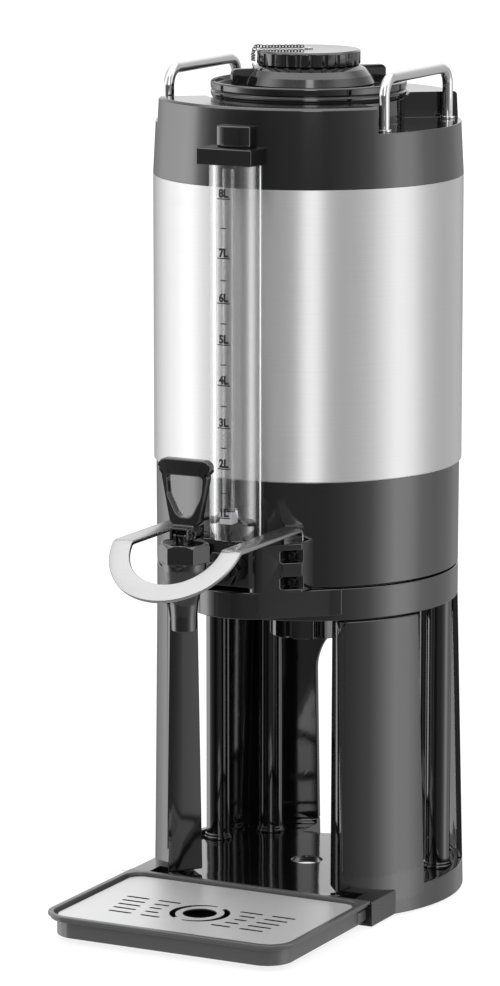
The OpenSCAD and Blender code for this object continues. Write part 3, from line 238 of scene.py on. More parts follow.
below, above, top = rising(z, -0.5, -0.32), rising(z, 0.0, 0.13), rising(z, 0.6, 0.85)
level = FLOOR_BOUNCE * (1 - below) + below * (1 - above) * ring_of_light(LOW_RING)
level = level + above * ((1 - top) * ring_of_light(HIGH_RING) + top * SKY_TOP)
seen = make_node(sky, "ShaderNodeLightPath")
background = sky.nodes.new("ShaderNodeBackground")
background.inputs["Color"].default_value = (1, 1, 1, 1)
feed(sky, background.inputs["Strength"], seen + (1 - seen) * level)
world_out = sky.nodes.new("ShaderNodeOutputWorld")
sky.links.new(background.outputs[0], world_out.inputs["Surface"])
bpy.context.scene.view_settings.view_transform = "Standard"
print("sky nodes:", len(sky.nodes))

# %% [markdown]
# The floor is a wide pale sheet. Part of its white is its own glow, which keeps the sweep even, and the
# rest is lit, so that the piece still stands in a faint shadow. Polished faces don't mirror the sheet,
# because the sky already holds the light that comes back from the floor.

# %% Lay the floor
FLOOR_HALF, FLOOR_DROP = 30, 0.2 * MM
PAPER_GREY, PAPER_GLOW = 0.2, 0.82
bpy.ops.mesh.primitive_plane_add(size=2 * FLOOR_HALF, location=(0, 0, -FLOOR_DROP))
floor = bpy.context.object
floor.name = "floor"
floor.visible_glossy = False
floor_look = bpy.data.materials.new("white_sweep")
floor_look.use_nodes = True
paper = floor_look.node_tree.nodes["Principled BSDF"]
paper.inputs["Base Color"].default_value = (PAPER_GREY, PAPER_GREY, PAPER_GREY, 1)
paper.inputs["Roughness"].default_value = 0.9
paper.inputs["Specular IOR Level"].default_value = 0
paper.inputs["Emission Color"].default_value = (1, 1, 1, 1)
paper.inputs["Emission Strength"].default_value = PAPER_GLOW
floor.data.materials.append(floor_look)
print("floor", 2 * FLOOR_HALF, "m wide")

# %% [markdown]
# ## Finishes
#
# Each finish is one function of a few numbers. Moulded black plastic is never even: the mould leaves a
# fine grain, and handling leaves faint smears that change how sharply it mirrors. Both are noise on the
# piece's own coordinates.


# %% Start a material
def new_look(name, color, roughness, **sockets):
    look = bpy.data.materials.new(name)
    look.use_nodes = True
    tree = look.node_tree
    shader = tree.nodes["Principled BSDF"]
    shader.inputs["Base Color"].default_value = (*color, 1)
    shader.inputs["Roughness"].default_value = roughness
    for socket, value in sockets.items():
        shader.inputs[socket.replace("_", " ")].default_value = value
    place = Value(tree, tree.nodes.new("ShaderNodeTexCoord").outputs["Object"])
    return look, tree, shader, place


def noise(place, scale, detail=3.0, stretch=(1, 1, 1)):
    mapped = place.node("ShaderNodeMapping", Vector=place, Scale=Vector(stretch))
    return place.node("ShaderNodeTexNoise", Vector=mapped, Scale=scale, Detail=detail)


def bump(place, shader, height, strength, depth):
    normal = place.node("ShaderNodeBump", Height=height, Strength=strength, Distance=depth)
    feed(place.tree, shader.inputs["Normal"], normal)


# %% Moulded plastic
SMEAR_SCALE, SPECK_SCALE, GRAIN_SCALE = 14, 420, 900
BLUE_TINGE = 1.03


def plastic(name, grey, roughness, grain, **sockets):
    look, tree, shader, place = new_look(name, (grey, grey, grey * BLUE_TINGE), roughness, **sockets)
    smear = noise(place, SMEAR_SCALE, 4)
    speck = noise(place, SPECK_SCALE, 2)
    feed(tree, shader.inputs["Roughness"], roughness * (0.82 + 0.36 * smear) + 0.05 * speck)
    bump(place, shader, noise(place, GRAIN_SCALE, 2), grain, 0.1 * MM)
    return look


LOOKS = {
    "satin_black": plastic("satin_black_plastic", 0.005, 0.07, 0.02, Specular_IOR_Level=1.0),
    "gloss_black": plastic("gloss_black_plastic", 0.004, 0.05, 0.01, Specular_IOR_Level=0.9),
    "white_fitting": plastic("white_plastic", 0.7, 0.35, 0.05),
    "seal_rubber": plastic("black_rubber", 0.02, 0.6, 0.2),
}
tray_look = plastic("tray_black_plastic", 0.055, 0.34, 0.08, Specular_IOR_Level=0.8)
print("moulded looks:", *LOOKS, tray_look.name)

# %% [markdown]
# ## Metal
#
# The steel band is rolled from brushed sheet. The brush runs round the band, so its lines are long
# along the turn and very short upwards. Wide soft upright stripes of painted sheen, random in tone,
# stand in for the light that the band reflects. Both come from noise in two coordinates: the way round
# and the height.


# %% Brushed sheet that is rolled round the axis
def way_round(place):
    parts = place.tree.nodes.new("ShaderNodeSeparateXYZ")
    feed(place.tree, parts.inputs[0], place)
    x, y, z = (Value(place.tree, socket) for socket in parts.outputs)
    return (y - AXIS_Y).math("ARCTAN2", x), z


def band_steel(name, grey, roughness):
    look, tree, shader, place = new_look(name, (grey, grey, grey), roughness, Metallic=1.0,
                                         Anisotropic=0.97, Anisotropic_Rotation=0.25)
    angle, z = way_round(place)
    rolled = place.node("ShaderNodeCombineXYZ", X=angle * 0.35, Y=z * 0.25, Z=0.0)
    brushed = place.node("ShaderNodeCombineXYZ", X=angle * 2.2, Y=z * 900, Z=0.0)
    painted_sheen = place.node("ShaderNodeTexNoise", Vector=rolled, Scale=9.0, Detail=3.0)
    line = place.node("ShaderNodeTexNoise", Vector=brushed, Scale=1.0, Detail=4.0)
    # The wide stripes are painted sheen in the base colour; the brush lines are the steel's own grain.
    feed(tree, shader.inputs["Base Color"], (grey * (0.86 + 0.16 * painted_sheen + 0.12 * line)).grey())
    feed(tree, shader.inputs["Roughness"], roughness * (0.85 + 0.3 * line))
    bump(place, shader, line, 0.05, 0.05 * MM)
    return look


LOOKS["band_steel"] = band_steel("brushed_band_steel", 0.68, 0.42)
print("band look:", LOOKS["band_steel"].name)

# %% [markdown]
# The grille is flat brushed sheet, with its lines from side to side, so here the noise is stretched
# along x alone. The guard, the rods and the screws are smooth metal with a few smears.

# %% Flat sheet and plain metal
BRUSH_STRETCH = (18, 1400, 1400)


def sheet_steel(name, grey, roughness):
    look, tree, shader, place = new_look(name, (grey, grey, grey), roughness, Metallic=0.5)
    line = noise(place, 1.0, 4, stretch=BRUSH_STRETCH)
    cloud = noise(place, 9, 2)
    feed(tree, shader.inputs["Base Color"], (grey * (0.88 + 0.08 * cloud + 0.14 * line)).grey())
    feed(tree, shader.inputs["Roughness"], roughness * (0.8 + 0.4 * line))
    bump(place, shader, line, 0.03, 0.05 * MM)
    return look


def plain_metal(name, grey, roughness):
    look, tree, shader, place = new_look(name, (grey, grey, grey), roughness, Metallic=1.0)
    smear = noise(place, 60, 4)
    feed(tree, shader.inputs["Roughness"], roughness * (0.7 + 0.6 * smear))
    bump(place, shader, noise(place, 500, 2), 0.015, 0.05 * MM)
    return look


LOOKS["guard_steel"] = plain_metal("satin_guard_steel", 0.36, 0.26)
LOOKS["bright_steel"] = plain_metal("polished_rod_steel", 0.6, 0.10)
LOOKS["screw_black"] = plain_metal("blackened_screw", 0.05, 0.3)
chain_look = plain_metal("chain_steel", 0.1, 0.3)
grille_look = sheet_steel("brushed_grille_steel", 0.58, 0.4)
print("other metals: guard_steel, bright_steel, screw_black,", chain_look.name, grille_look.name)

# %% [markdown]
# ## Clear plastic
#
# The shield and the tube are thin walls, which hardly bend what lies behind them. A thin wall can be
# a mix of a see-through shader and a mirror, with more mirror where the wall is seen edge on. That
# keeps the picture free of noise.


# %% Thin clear wall
def clear_wall(name, tint, mirror, edge, dark):
    look = bpy.data.materials.new(name)
    look.use_nodes = True
    tree = look.node_tree
    tree.nodes.clear()
    out = tree.nodes.new("ShaderNodeOutputMaterial")
    facing = make_node(tree, "ShaderNodeLayerWeight", out=1, Blend=0.5)

    def mix(share, one, two):
        node = tree.nodes.new("ShaderNodeMixShader")
        feed(tree, node.inputs[0], share)
        tree.links.new(one.socket, node.inputs[1])
        tree.links.new(two.socket, node.inputs[2])
        return Value(tree, node.outputs[0])

    through = make_node(tree, "ShaderNodeBsdfTransparent", Color=(tint, tint, tint, 1))
    rim = make_node(tree, "ShaderNodeBsdfTransparent", Color=(dark, dark, dark, 1))
    glint = make_node(tree, "ShaderNodeBsdfGlossy", Color=(1, 1, 1, 1), Roughness=0.02)
    body = mix(facing.math("POWER", 5.0), through, rim)
    whole = mix((mirror + edge * facing.math("POWER", 3.0)).clamp(), body, glint)
    tree.links.new(whole.socket, out.inputs["Surface"])
    return look


LOOKS["clear_shield"] = clear_wall("clear_shield_plastic", tint=0.97, mirror=0.13, edge=0.55, dark=0.5)
LOOKS["tube_glass"] = clear_wall("clear_tube_glass", tint=0.95, mirror=0.1, edge=0.5, dark=0.4)
print("clear walls: clear_shield, tube_glass")

# %% [markdown]
# The ink of the gauge and the painted highlights on the cut edges of its shield are small. An even
# colour is enough for them, with a little noise in how sharply they mirror.


# %% Ink and painted edge highlights
def even_look(name, grey, roughness, spread, scale):
    look, tree, shader, place = new_look(name, (grey, grey, grey), roughness)
    feed(tree, shader.inputs["Roughness"], roughness - spread / 2 + spread * noise(place, scale))
    return look


LOOKS["mark_black"] = even_look("printed_ink", 0.01, 0.5, spread=0.2, scale=300)
edge_glint_look = even_look("painted_edge_glint", 0.9, 0.3, spread=0.1, scale=200)
print("even looks:", LOOKS["mark_black"].name, edge_glint_look.name)

# %% [markdown]
# ## Helpers for meshes
#
# Several pieces below are skins: an outline is drawn many times along a way, and each copy is joined to
# the next by a ring of faces. One function does that, and two more turn the result into an object.


# %% Skin outlines and make a piece
def skin(work, outlines):
    rings = [[work.verts.new(point) for point in outline] for outline in outlines]
    count = len(rings[0])
    fresh = [work.faces.new((one[i], one[(i + 1) % count], two[(i + 1) % count], two[i]))
             for one, two in zip(rings, rings[1:]) for i in range(count)]
    fresh += [work.faces.new(ring) for ring in (rings[0], rings[-1])]
    bmesh.ops.recalc_face_normals(work, faces=fresh)


def finished_mesh(work, name):
    mesh = bpy.data.meshes.new(name)
    work.to_mesh(mesh)
    work.free()
    return mesh


def new_piece(name, mesh):
    piece = bpy.data.objects.new(name, mesh)
    bpy.context.scene.collection.objects.link(piece)
    return piece


# %% [markdown]
# ## Round edges
#
# No moulded or bent edge is knife sharp, and it is the thin bright line along a round edge that tells
# the eye what a thing is made of. Each solid is copied, its loose triangles are joined into faces, and
# a Bevel modifier rounds the edges where two faces meet at a clear angle. A flat rim with a hole in it
# would be one face of many corners, which the modifier can close over, so such a face is kept as
# triangles. The copy then stands for the solid and rides on the same body.

# %% Make a softened copy of a solid
WELD, SAME_PLANE, MANY_CORNERS = 2e-6, math.radians(0.2), 4


def joined_copy(node, name):
    mesh = frame["nodes"][node].data.copy()
    mesh.name = name
    work = bmesh.new()
    work.from_mesh(mesh)
    bmesh.ops.remove_doubles(work, verts=work.verts, dist=WELD)
    bmesh.ops.dissolve_limit(work, angle_limit=SAME_PLANE, verts=work.verts, edges=work.edges)
    bmesh.ops.triangulate(work, faces=[f for f in work.faces if len(f.verts) > MANY_CORNERS])
    work.to_mesh(mesh)
    work.free()
    mesh.materials.clear()
    return new_piece(name, mesh)


def smooth(mesh, angle):
    mesh.shade_smooth()
    mesh.set_sharp_from_angle(angle=math.radians(angle))


def mesh_now(thing):
    bpy.context.view_layer.update()
    return bpy.data.meshes.new_from_object(thing.evaluated_get(bpy.context.evaluated_depsgraph_get()))


def bake(piece):
    mesh = mesh_now(piece)
    piece.modifiers.clear()
    piece.data = mesh


# %% [markdown]
# A smooth wall is made of flat strips, and a mirror finish shows every uneven strip as a streak. Most
# walls here are turned round one axis, so their true direction at a corner is known: it is the strip's
# own slope, pointed straight out from the axis. The round edges keep the normals that Blender weighs.
# The bevel gives its own faces the second material, which tells the two apart.

# %% True normals for turned walls
FACES_OUT, UPRIGHT_SHARE = 0.994, 0.2


def column(items, name, width=1):
    values = np.empty(len(items) * width, np.int32 if width == 1 else np.float32)
    items.foreach_get(name, values)
    return values if width == 1 else values.reshape(-1, width)


def turn_true(mesh):
    normals = column(mesh.corner_normals, "vector", 3)
    points = column(mesh.vertices, "co", 3)[column(mesh.loops, "vertex_index")]
    spoke = points - np.array([0, AXIS_Y, 0], np.float32)
    spoke[:, 2] = 0
    spoke /= np.maximum(np.linalg.norm(spoke, axis=1), 1e-6)[:, None]
    sizes = column(mesh.polygons, "loop_total")
    kinds = np.repeat(column(mesh.polygons, "material_index"), sizes)
    flat = np.repeat(column(mesh.polygons, "normal", 3), sizes, axis=0)
    level = np.hypot(flat[:, 0], flat[:, 1])
    lean = (flat[:, :2] * spoke[:, :2]).sum(axis=1)
    turned = (kinds == 0) & (np.abs(lean) > FACES_OUT * level) & (level > UPRIGHT_SHARE)
    true = spoke * (np.sign(lean) * level)[:, None]
    true[:, 2] = flat[:, 2]
    normals[turned] = true[turned]
    mesh.normals_split_custom_set(normals)


# %% [markdown]
# The tall front corner of each front leg is a much wider round than any other edge. A bevel by weight
# rounds only the edges that are marked for it: steep ones, far out, at the leg's front corner.

# %% Round the tall corners of the front legs
LEGS = ("leg_front_left", "leg_front_right")
LEG_CORNER_R, LEG_CORNER_AT, LEG_CORNER_WITHIN = 11 * MM, 38, 1.5
STEEP, CLEAR_ANGLE = 0.8, math.radians(35)


def tall_corner(one, two):
    if abs(one.z - two.z) < STEEP * (one - two).length:
        return False
    return all(reach > BAND_R - 5 * MM and abs(abs(math.degrees(bearing)) - LEG_CORNER_AT) < LEG_CORNER_WITHIN
               for reach, bearing in (from_axis(one), from_axis(two)))


def round_tall_corners(piece):
    work = bmesh.new()
    work.from_mesh(piece.data)
    weight = work.edges.layers.float.new("bevel_weight_edge")
    found = [e for e in work.edges
             if e.calc_face_angle(0) > CLEAR_ANGLE and tall_corner(*(v.co for v in e.verts))]
    for e in found:
        e[weight] = 1.0
    work.to_mesh(piece.data)
    work.free()
    corner = piece.modifiers.new("front corner", "BEVEL")
    corner.limit_method = "WEIGHT"
    corner.width = LEG_CORNER_R
    corner.segments = 8
    corner.use_clamp_overlap = False
    bake(piece)
    print(piece.name, "tall corners rounded", len(found))


# %% [markdown]
# Three forms of the real piece differ a little from the solid. The nose of the housing is a wide
# round, so the corners of its small round are moved out along the two walls that meet there. The front
# of the vent cap swells forwards, more in its middle than at its sides. And the shelf of the stand's
# ring runs out into the ring in a smooth sweep, which is added at both its ends.

# %% Widen the nose and deepen the vent cap
NOSE_X, NOSE_R, WIDE_NOSE_R = 22 * MM, 3 * MM, 8 * MM
VENT_FRONT, VENT_MIDDLE, MIDDLE_OUT, SIDE_OUT = 2 * MM, 10 * MM, 3.4, 1.7


def widen_nose(mesh):
    side = NOSE_X - NOSE_R
    front = min(v.co.y for v in mesh.vertices if abs(abs(v.co.x) - side) < 0.02 * MM)
    middle = Vector((NOSE_X, front))
    arc = []
    for v in mesh.vertices:
        spoke = Vector((abs(v.co.x), v.co.y)) - middle
        if abs(spoke.length - NOSE_R) < 0.03 * MM and spoke.y < 0.02 * MM and spoke.x < 0.9 * NOSE_R:
            arc.append((v, spoke / NOSE_R))
    slope = max((spoke for _, spoke in arc), key=lambda spoke: spoke.x)
    shift = Vector((1, (-1 - slope.x) / slope.y)) * (WIDE_NOSE_R - NOSE_R)
    for v, spoke in arc:
        place = middle + shift + spoke * WIDE_NOSE_R
        v.co.x = math.copysign(place.x, v.co.x)
        v.co.y = place.y
    print("nose corners moved", len(arc), "slope", tuple(round(n, 3) for n in slope))


def deepen_vent(mesh):
    front = min(v.co.y for v in mesh.vertices)
    for v in mesh.vertices:
        if v.co.y < front + VENT_FRONT:
            v.co.y -= (MIDDLE_OUT if abs(v.co.x) < VENT_MIDDLE else SIDE_OUT) * MM


# %% [markdown]
# The sweep starts on the shelf's own curve, keeps its slope, and ends flush with the ring. Its first
# part is a straight run over the shelf, a tenth of a millimetre proud of it, and the rest follows an S
# curve. How far it reaches depends on how steeply the shelf falls away at its end.

# %% Run out the shelf
SWEEP_STEPS, SWEEP_LEAD, SWEEP_PROUD = 24, 3, 0.12 * MM
LEAST_SWING, MOST_SWING, SWING_RATE = math.radians(8), math.radians(26), 2.2


def end_of_shelf(mesh, ring_r):
    shelf = [v.co for v in mesh.vertices if from_axis(v.co)[0] > ring_r + 3 * MM]
    corner = max(shelf, key=lambda v: (round(v.x, 4), -v.y))
    reach, start = from_axis(corner)
    beside = max((v for v in shelf if abs(v.z - corner.z) < 0.01 * MM and v.x < corner.x - 1 * MM
                  and v.y < AXIS_Y - reach * 0.8), key=lambda v: v.x)
    beside_reach, beside_start = from_axis(beside)
    fall = (reach - beside_reach) / (start - beside_start)
    return reach, start, fall, min(v.z for v in shelf), max(v.z for v in shelf)


def run_out_shelf(mesh):
    ring_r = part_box("lower_collar")[1].x
    reach, start, fall, low, high = end_of_shelf(mesh, ring_r)
    swing = max(LEAST_SWING, min(MOST_SWING, -SWING_RATE * (reach - ring_r) / min(fall, -1e-4)))

    def out_to(t):
        if t <= 0:
            return reach + fall * swing * t + SWEEP_PROUD
        return (ring_r + (reach - ring_r) * (1 - t * t * (3 - 2 * t)) + fall * swing * t * (1 - t) ** 2
                + SWEEP_PROUD * (1 - t))

    work = bmesh.new()
    work.from_mesh(mesh)
    inner, foot, head = ring_r - 1 * MM, low + 0.02 * MM, high - 0.02 * MM
    along = [step / SWEEP_STEPS for step in range(-SWEEP_LEAD, SWEEP_STEPS + 1)]
    for side in (-1, 1):
        skin(work, [[at(r, side * (start + swing * t), z) for r, z in
                     ((inner, foot), (inner, head), (out_to(t), head), (out_to(t), foot))] for t in along])
    work.to_mesh(mesh)
    work.free()
    print("shelf runs out over", round(math.degrees(swing), 1), "degrees, fall", round(fall, 4))


# %% [markdown]
# Each copy goes through the same few steps: its own change of form, if it has one, then the bevel,
# smooth shading, weighed normals and the true normals of turned walls. Last it is tied to the body
# that its solid rides on, and the solid is hidden.

# %% Dress one solid
RESHAPE = {"front_housing": widen_nose, "stand_ring": run_out_shelf, "vent_cap": deepen_vent}
BEVEL_ANGLE, SMOOTH_ANGLE = 30, 38


def dress(node, edge, look):
    piece = joined_copy(node, node + "_dressed")
    if node in RESHAPE:
        RESHAPE[node](piece.data)
    if node in LEGS:
        round_tall_corners(piece)
    piece.data.materials.append(look)
    piece.data.materials.append(look)
    if edge:
        round_edges = piece.modifiers.new("round edges", "BEVEL")
        round_edges.width = edge * MM
        round_edges.segments = 2
        round_edges.limit_method = "ANGLE"
        round_edges.angle_limit = math.radians(BEVEL_ANGLE)
        round_edges.use_clamp_overlap = False
        round_edges.material = 1
        bake(piece)
    smooth(piece.data, SMOOTH_ANGLE)
    weigh = piece.modifiers.new("weigh normals", "WEIGHTED_NORMAL")
    weigh.mode = "FACE_AREA"
    weigh.weight = 100
    weigh.keep_sharp = True
    bake(piece)
    turn_true(piece.data)
    piece.data.polygons.foreach_set("material_index", [0] * len(piece.data.polygons))
    piece.data.materials.pop()
    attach(piece, body_of[node])
    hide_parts(node)


# %% [markdown]
# The table gives each piece the radius of its edges in millimetres, as a mould maker or a sheet metal
# shop would state them. A nought leaves the edges as they are.

# %% Dress the solids
EDGES = {
    "stand_base": 0.8, "leg_front_left": 1.2, "leg_front_right": 1.2, "rear_panel": 0.8, "post_side_left": 0.5,
    "post_side_right": 0.5, "post_rear_left": 0.5, "post_rear_right": 0.5, "stand_ring": 0.8, "drip_tray": 0.7,
    "drip_grille": 0, "lower_collar": 0.5, "bottom_plate": 0.5, "base_nut": 0.8, "outer_shell": 0.2,
    "crown": 0.4, "handle_left": 0, "handle_right": 0, "handle_ferrules": 0.3, "front_housing": 0.7,
    "housing_screws": 0.25, "gauge_block": 0.7, "vent_cap": 1.0, "gauge_shield": 0.2,
    "sight_tube": 0, "tube_fitting": 0.4, "tube_stem": 0, "feed_hose": 0, "tap_shank": 0.3, "shank_nut": 0.5,
    "shank_washer": 0.3, "tap_body": 0.4, "bonnet_nut": 0.5, "tap_lever": 1.1, "lever_pin": 0.2,
    "tap_stem": 0.2, "lid": 0.5, "fill_cap": 0.4, "chain_anchor": 0, "cap_swivel": 0.2, "rubber_feet": 0.3,
}
OWN_LOOK = {"tap_stem": LOOKS["screw_black"], "lever_pin": LOOKS["screw_black"],
            "drip_grille": grille_look, "drip_tray": tray_look}
for node, edge in EDGES.items():
    dress(node, edge, OWN_LOOK.get(node, LOOKS[slot_of[node]]))
print("dressed", len(EDGES), "solids")

# %% [markdown]
# The front legs and the base are one moulding on the real stand, so no seam shows where they meet. A
# thin cover in the same plastic lies over the seam, and swells by a tenth of a millimetre in its middle.
# Its rows say how far above the seam each one lies, and how proud of the leg's wall, in millimetres.

# %% Measure the leg's wall
SEAM_Z, LEG_HIGH = 20 * MM, 227 * MM
LEG_START, LEG_STOP = math.radians(38.9), math.radians(75.2)
SEAM_ROWS = [(-15, -0.03), (-9, 0.08), (0, 0.1), (9, 0.08), (18, -0.03)]
SEAM_STEPS, COVER_T = 30, 0.6 * MM


def leg_wall(node, side, z):
    wall = {}
    for v in frame["nodes"][node].data.vertices:
        reach, bearing = from_axis(v.co)
        if abs(v.co.z - z) < 0.01 * MM and reach > BAND_R - 5 * MM:
            wall[round(side * bearing, 4)] = reach
    return sorted(wall.items())


def cover_outlines(node, side):
    foot, top = (leg_wall(node, side, z) for z in (SEAM_Z, LEG_HIGH))
    for step in range(SEAM_STEPS + 1):
        bearing = LEG_START + (LEG_STOP - LEG_START) * step / SEAM_STEPS
        foot_r, top_r = (np.interp(bearing, *zip(*wall)) for wall in (foot, top))
        row = [(foot_r + (top_r - foot_r) * max(up * MM, 0) / (LEG_HIGH - SEAM_Z) + swell * MM, up)
               for up, swell in SEAM_ROWS]
        row += [(reach - COVER_T, up) for reach, up in reversed(row)]
        yield [at(reach, side * bearing, SEAM_Z + up * MM) for reach, up in row]


# %% Cover the seam under the front legs
for side, name in ((-1, "left"), (1, "right")):
    work = bmesh.new()
    skin(work, list(cover_outlines("leg_front_" + name, side)))
    cover = new_piece("seam_cover_" + name, finished_mesh(work, "seam_cover_" + name))
    smooth(cover.data, 30)
    cover.data.materials.append(LOOKS["satin_black"])
    turn_true(cover.data)
    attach(cover, body_of["leg_front_" + name])
print("seam covers from", round(math.degrees(LEG_START), 1), "to", round(math.degrees(LEG_STOP), 1), "degrees")

# %% [markdown]
# The slots of the grille look black: their pressed walls lie in shade. That shade is painted: a dark
# sheet, a few hundredths of a millimetre thick, lies on each wall. It is what is left of a copy of the
# plate without its flat faces and its outer rim.

# %% Paint shade into the slots of the grille
GRILLE_LOW, GRILLE_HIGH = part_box("drip_grille")
RIM, SHADE_SHEET_T = 4 * MM, 0.06 * MM


def in_a_slot(face):
    middle = face.calc_center_median()
    return (abs(face.normal.z) <= 0.3 and GRILLE_LOW.x + RIM < middle.x < GRILLE_HIGH.x - RIM
            and GRILLE_LOW.y + RIM < middle.y < GRILLE_HIGH.y - RIM)


slot_shade = joined_copy("drip_grille", "slot_painted_shade")
work = bmesh.new()
work.from_mesh(slot_shade.data)
bmesh.ops.delete(work, geom=[f for f in work.faces if not in_a_slot(f)], context="FACES")
work.to_mesh(slot_shade.data)
work.free()
thicken = slot_shade.modifiers.new("thicken", "SOLIDIFY")
thicken.thickness = SHADE_SHEET_T
thicken.offset = 1
bake(slot_shade)
slot_shade.data.materials.clear()
# The dark sheet takes the black rubber finish, as painted shade on the slot walls.
slot_shade.data.materials.append(LOOKS["seal_rubber"])
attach(slot_shade, body_of["drip_grille"])
print("slot walls lined", len(slot_shade.data.polygons))

# %% [markdown]
# Pieces that only show through a gap, or not at all, keep their solid and take a finish. The guard, the
# chain and the marks of the gauge are drawn anew below.

# %% Finish the hidden solids
DRAWN_ANEW = ("guard_bar", "chain", "scale_marks")
hidden = [node for node in frame["nodes"] if node not in EDGES and node not in DRAWN_ANEW]
for node in hidden:
    solid = frame["nodes"][node]
    solid.data.materials.clear()
    solid.data.materials.append(LOOKS[slot_of[node]])
print("kept as solids", len(hidden))

# %% [markdown]
# ## Numerals and marks on the gauge
#
# The litre marks and numerals are printed on the round front of the shield. The heights come from the
# marks of the solid: the wide ones are whole litres. Points that lie close together belong to one mark.

# %% Read the heights of the litre marks
SHIELD_LOW, SHIELD_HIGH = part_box("gauge_shield")
SHIELD_R = (SHIELD_HIGH.x - SHIELD_LOW.x) / 2
SHIELD_Y = SHIELD_LOW.y + SHIELD_R
SLICE, WIDE_MARK, APART = 1.5 * MM, 4 * MM, 5 * MM


def mark_levels():
    slices = {}
    for v in frame["nodes"]["scale_marks"].data.vertices:
        slices.setdefault(round(v.co.z / SLICE), []).append(v.co.copy())
    wide = [points for points in slices.values() if max(p.x for p in points) > WIDE_MARK]
    levels = sorted(max(p.z for p in points) for points in wide)
    merged = [levels[0]]
    for level in levels[1:]:
        if level - merged[-1] > APART:
            merged.append(level)
    return merged


levels = mark_levels()
print("litre marks at", [round(level, 4) for level in levels])

# %% [markdown]
# Each numeral is a text, turned into a mesh, and then wrapped: a point's sideways place becomes an
# angle on the shield. Flat ink is a hair thick.

# %% Print the numerals
NUMERAL_HEIGHT, NUMERAL_SQUEEZE, NUMERAL_RISE = 8.2 * MM, 0.92, 1.0 * MM
INK_HALF, INK_BOLD, INK_OUT = 0.06 * MM, 0.42 * MM, 0.09 * MM


def text_mesh(text):
    curve = bpy.data.curves.new("numeral", "FONT")
    curve.body = text
    curve.size = NUMERAL_HEIGHT
    curve.align_x = "CENTER"
    curve.extrude = INK_HALF
    curve.offset = INK_BOLD
    curve.resolution_u = 4
    holder = new_piece("numeral_text", curve)
    mesh = mesh_now(holder)
    bpy.data.objects.remove(holder)
    return mesh


def numeral(text, foot, name):
    work = bmesh.new()
    work.from_mesh(text_mesh(text))
    bmesh.ops.remove_doubles(work, verts=work.verts, dist=1e-6)
    bmesh.ops.triangulate(work, faces=work.faces)
    for v in work.verts:
        v.co = at(SHIELD_R + INK_OUT + v.co.z, v.co.x * NUMERAL_SQUEEZE / SHIELD_R, foot + v.co.y, SHIELD_Y)
    bmesh.ops.recalc_face_normals(work, faces=work.faces)
    piece = new_piece(name, finished_mesh(work, name))
    piece.data.materials.append(LOOKS["mark_black"])
    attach(piece, "container")


for number, level in enumerate(levels, start=1):
    numeral(f"{number}L", level + NUMERAL_RISE, f"numeral_{number}")
print("numerals", len(levels))

# %% [markdown]
# A mark is a thin bent stroke: wide at each litre, and half as wide at each half litre.

# %% Print the marks
LITRE_TURN, HALF_TURN = math.radians(15.5), math.radians(7)
LITRE_T, HALF_T, LITRE_DROP, STROKE_STEPS = 0.75 * MM, 0.7 * MM, 0.3 * MM, 8
STROKE_IN, STROKE_OUT = SHIELD_R + 0.02 * MM, SHIELD_R + 0.15 * MM


def stroke(work, middle, half_turn, height):
    foot, head = middle - height / 2, middle + height / 2
    turns = [half_turn * (2 * step / STROKE_STEPS - 1) for step in range(STROKE_STEPS + 1)]
    outline = ((STROKE_IN, foot), (STROKE_IN, head), (STROKE_OUT, head), (STROKE_OUT, foot))
    skin(work, [[at(reach, angle, z, SHIELD_Y) for reach, z in outline] for angle in turns])


work = bmesh.new()
for level in levels:
    stroke(work, level - LITRE_DROP, LITRE_TURN, LITRE_T)
for lower, upper in zip(levels, levels[1:]):
    stroke(work, (lower + upper) / 2, HALF_TURN, HALF_T)
marks = new_piece("gauge_marks", finished_mesh(work, "gauge_marks"))
marks.data.materials.append(LOOKS["mark_black"])
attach(marks, "container")
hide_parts("scale_marks")
print("marks have", len(marks.data.polygons), "faces")

# %% [markdown]
# ## The cut edges of the shield
#
# A clear sheet gathers light and lets it out at its cut edges. The shield's two edges stand against
# the steel band, where they show as thin bright upright lines. Each line is a painted highlight: a slim
# pale bar in the wall's end.
# Where the shield's circle meets the band's follows from the triangle of their axes and that point.

# %% Paint highlights on the cut edges
SHIELD_T, SHORT_OF_ENDS = 1.2 * MM, 1 * MM
CLEAR_OF_BAND = math.radians(3)
apart = SHIELD_Y - AXIS_Y
meeting = math.acos((apart ** 2 + SHIELD_R ** 2 - BAND_R ** 2) / (2 * abs(apart) * SHIELD_R))
swing = meeting + CLEAR_OF_BAND
bar_reach = SHIELD_R - SHIELD_T / 2
bar_length = SHIELD_HIGH.z - SHIELD_LOW.z - 2 * SHORT_OF_ENDS
for side, name in ((-1, "left"), (1, "right")):
    bpy.ops.mesh.primitive_cylinder_add(radius=SHIELD_T / 2, depth=bar_length, vertices=12)
    bar = bpy.context.object
    bar.name = "shield_edge_glint_" + name
    middle = Vector((side * bar_reach * math.sin(swing), SHIELD_Y + bar_reach * math.cos(swing),
                     (SHIELD_LOW.z + SHIELD_HIGH.z) / 2))
    bar.data.transform(Matrix.Translation(middle))
    # The pale bar is a painted highlight: the light that leaves the cut edge.
    bar.data.materials.append(edge_glint_look)
    smooth(bar.data, 40)
    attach(bar, "container")
print("shield edges at", round(math.degrees(swing), 1), "degrees from the axis side")

# %% [markdown]
# ## The spout guard
#
# The guard is one steel strip: up from a screw tab, round a tight bend, along a leg, down the slope,
# and round a half ring. Each station of its path has a middle, a direction across the strip and a
# direction out of its face. All its sizes are in millimetres, with nought on the container's axis.

# %% Walk along the guard
GUARD_W, GUARD_T, GUARD_ROUND = 15.6, 3.0, 0.7
LEG_X, LEG_TOP, LEG_END, TAB_FOOT, TAB_REAR = 43.8, 299.6, -210.0, 257.3, -108.546
SLOPE, BEND_R, SLOPE_R = math.radians(40), 6.0, 8.0
SLOPE_RUN = SLOPE_R * math.tan(SLOPE / 2)


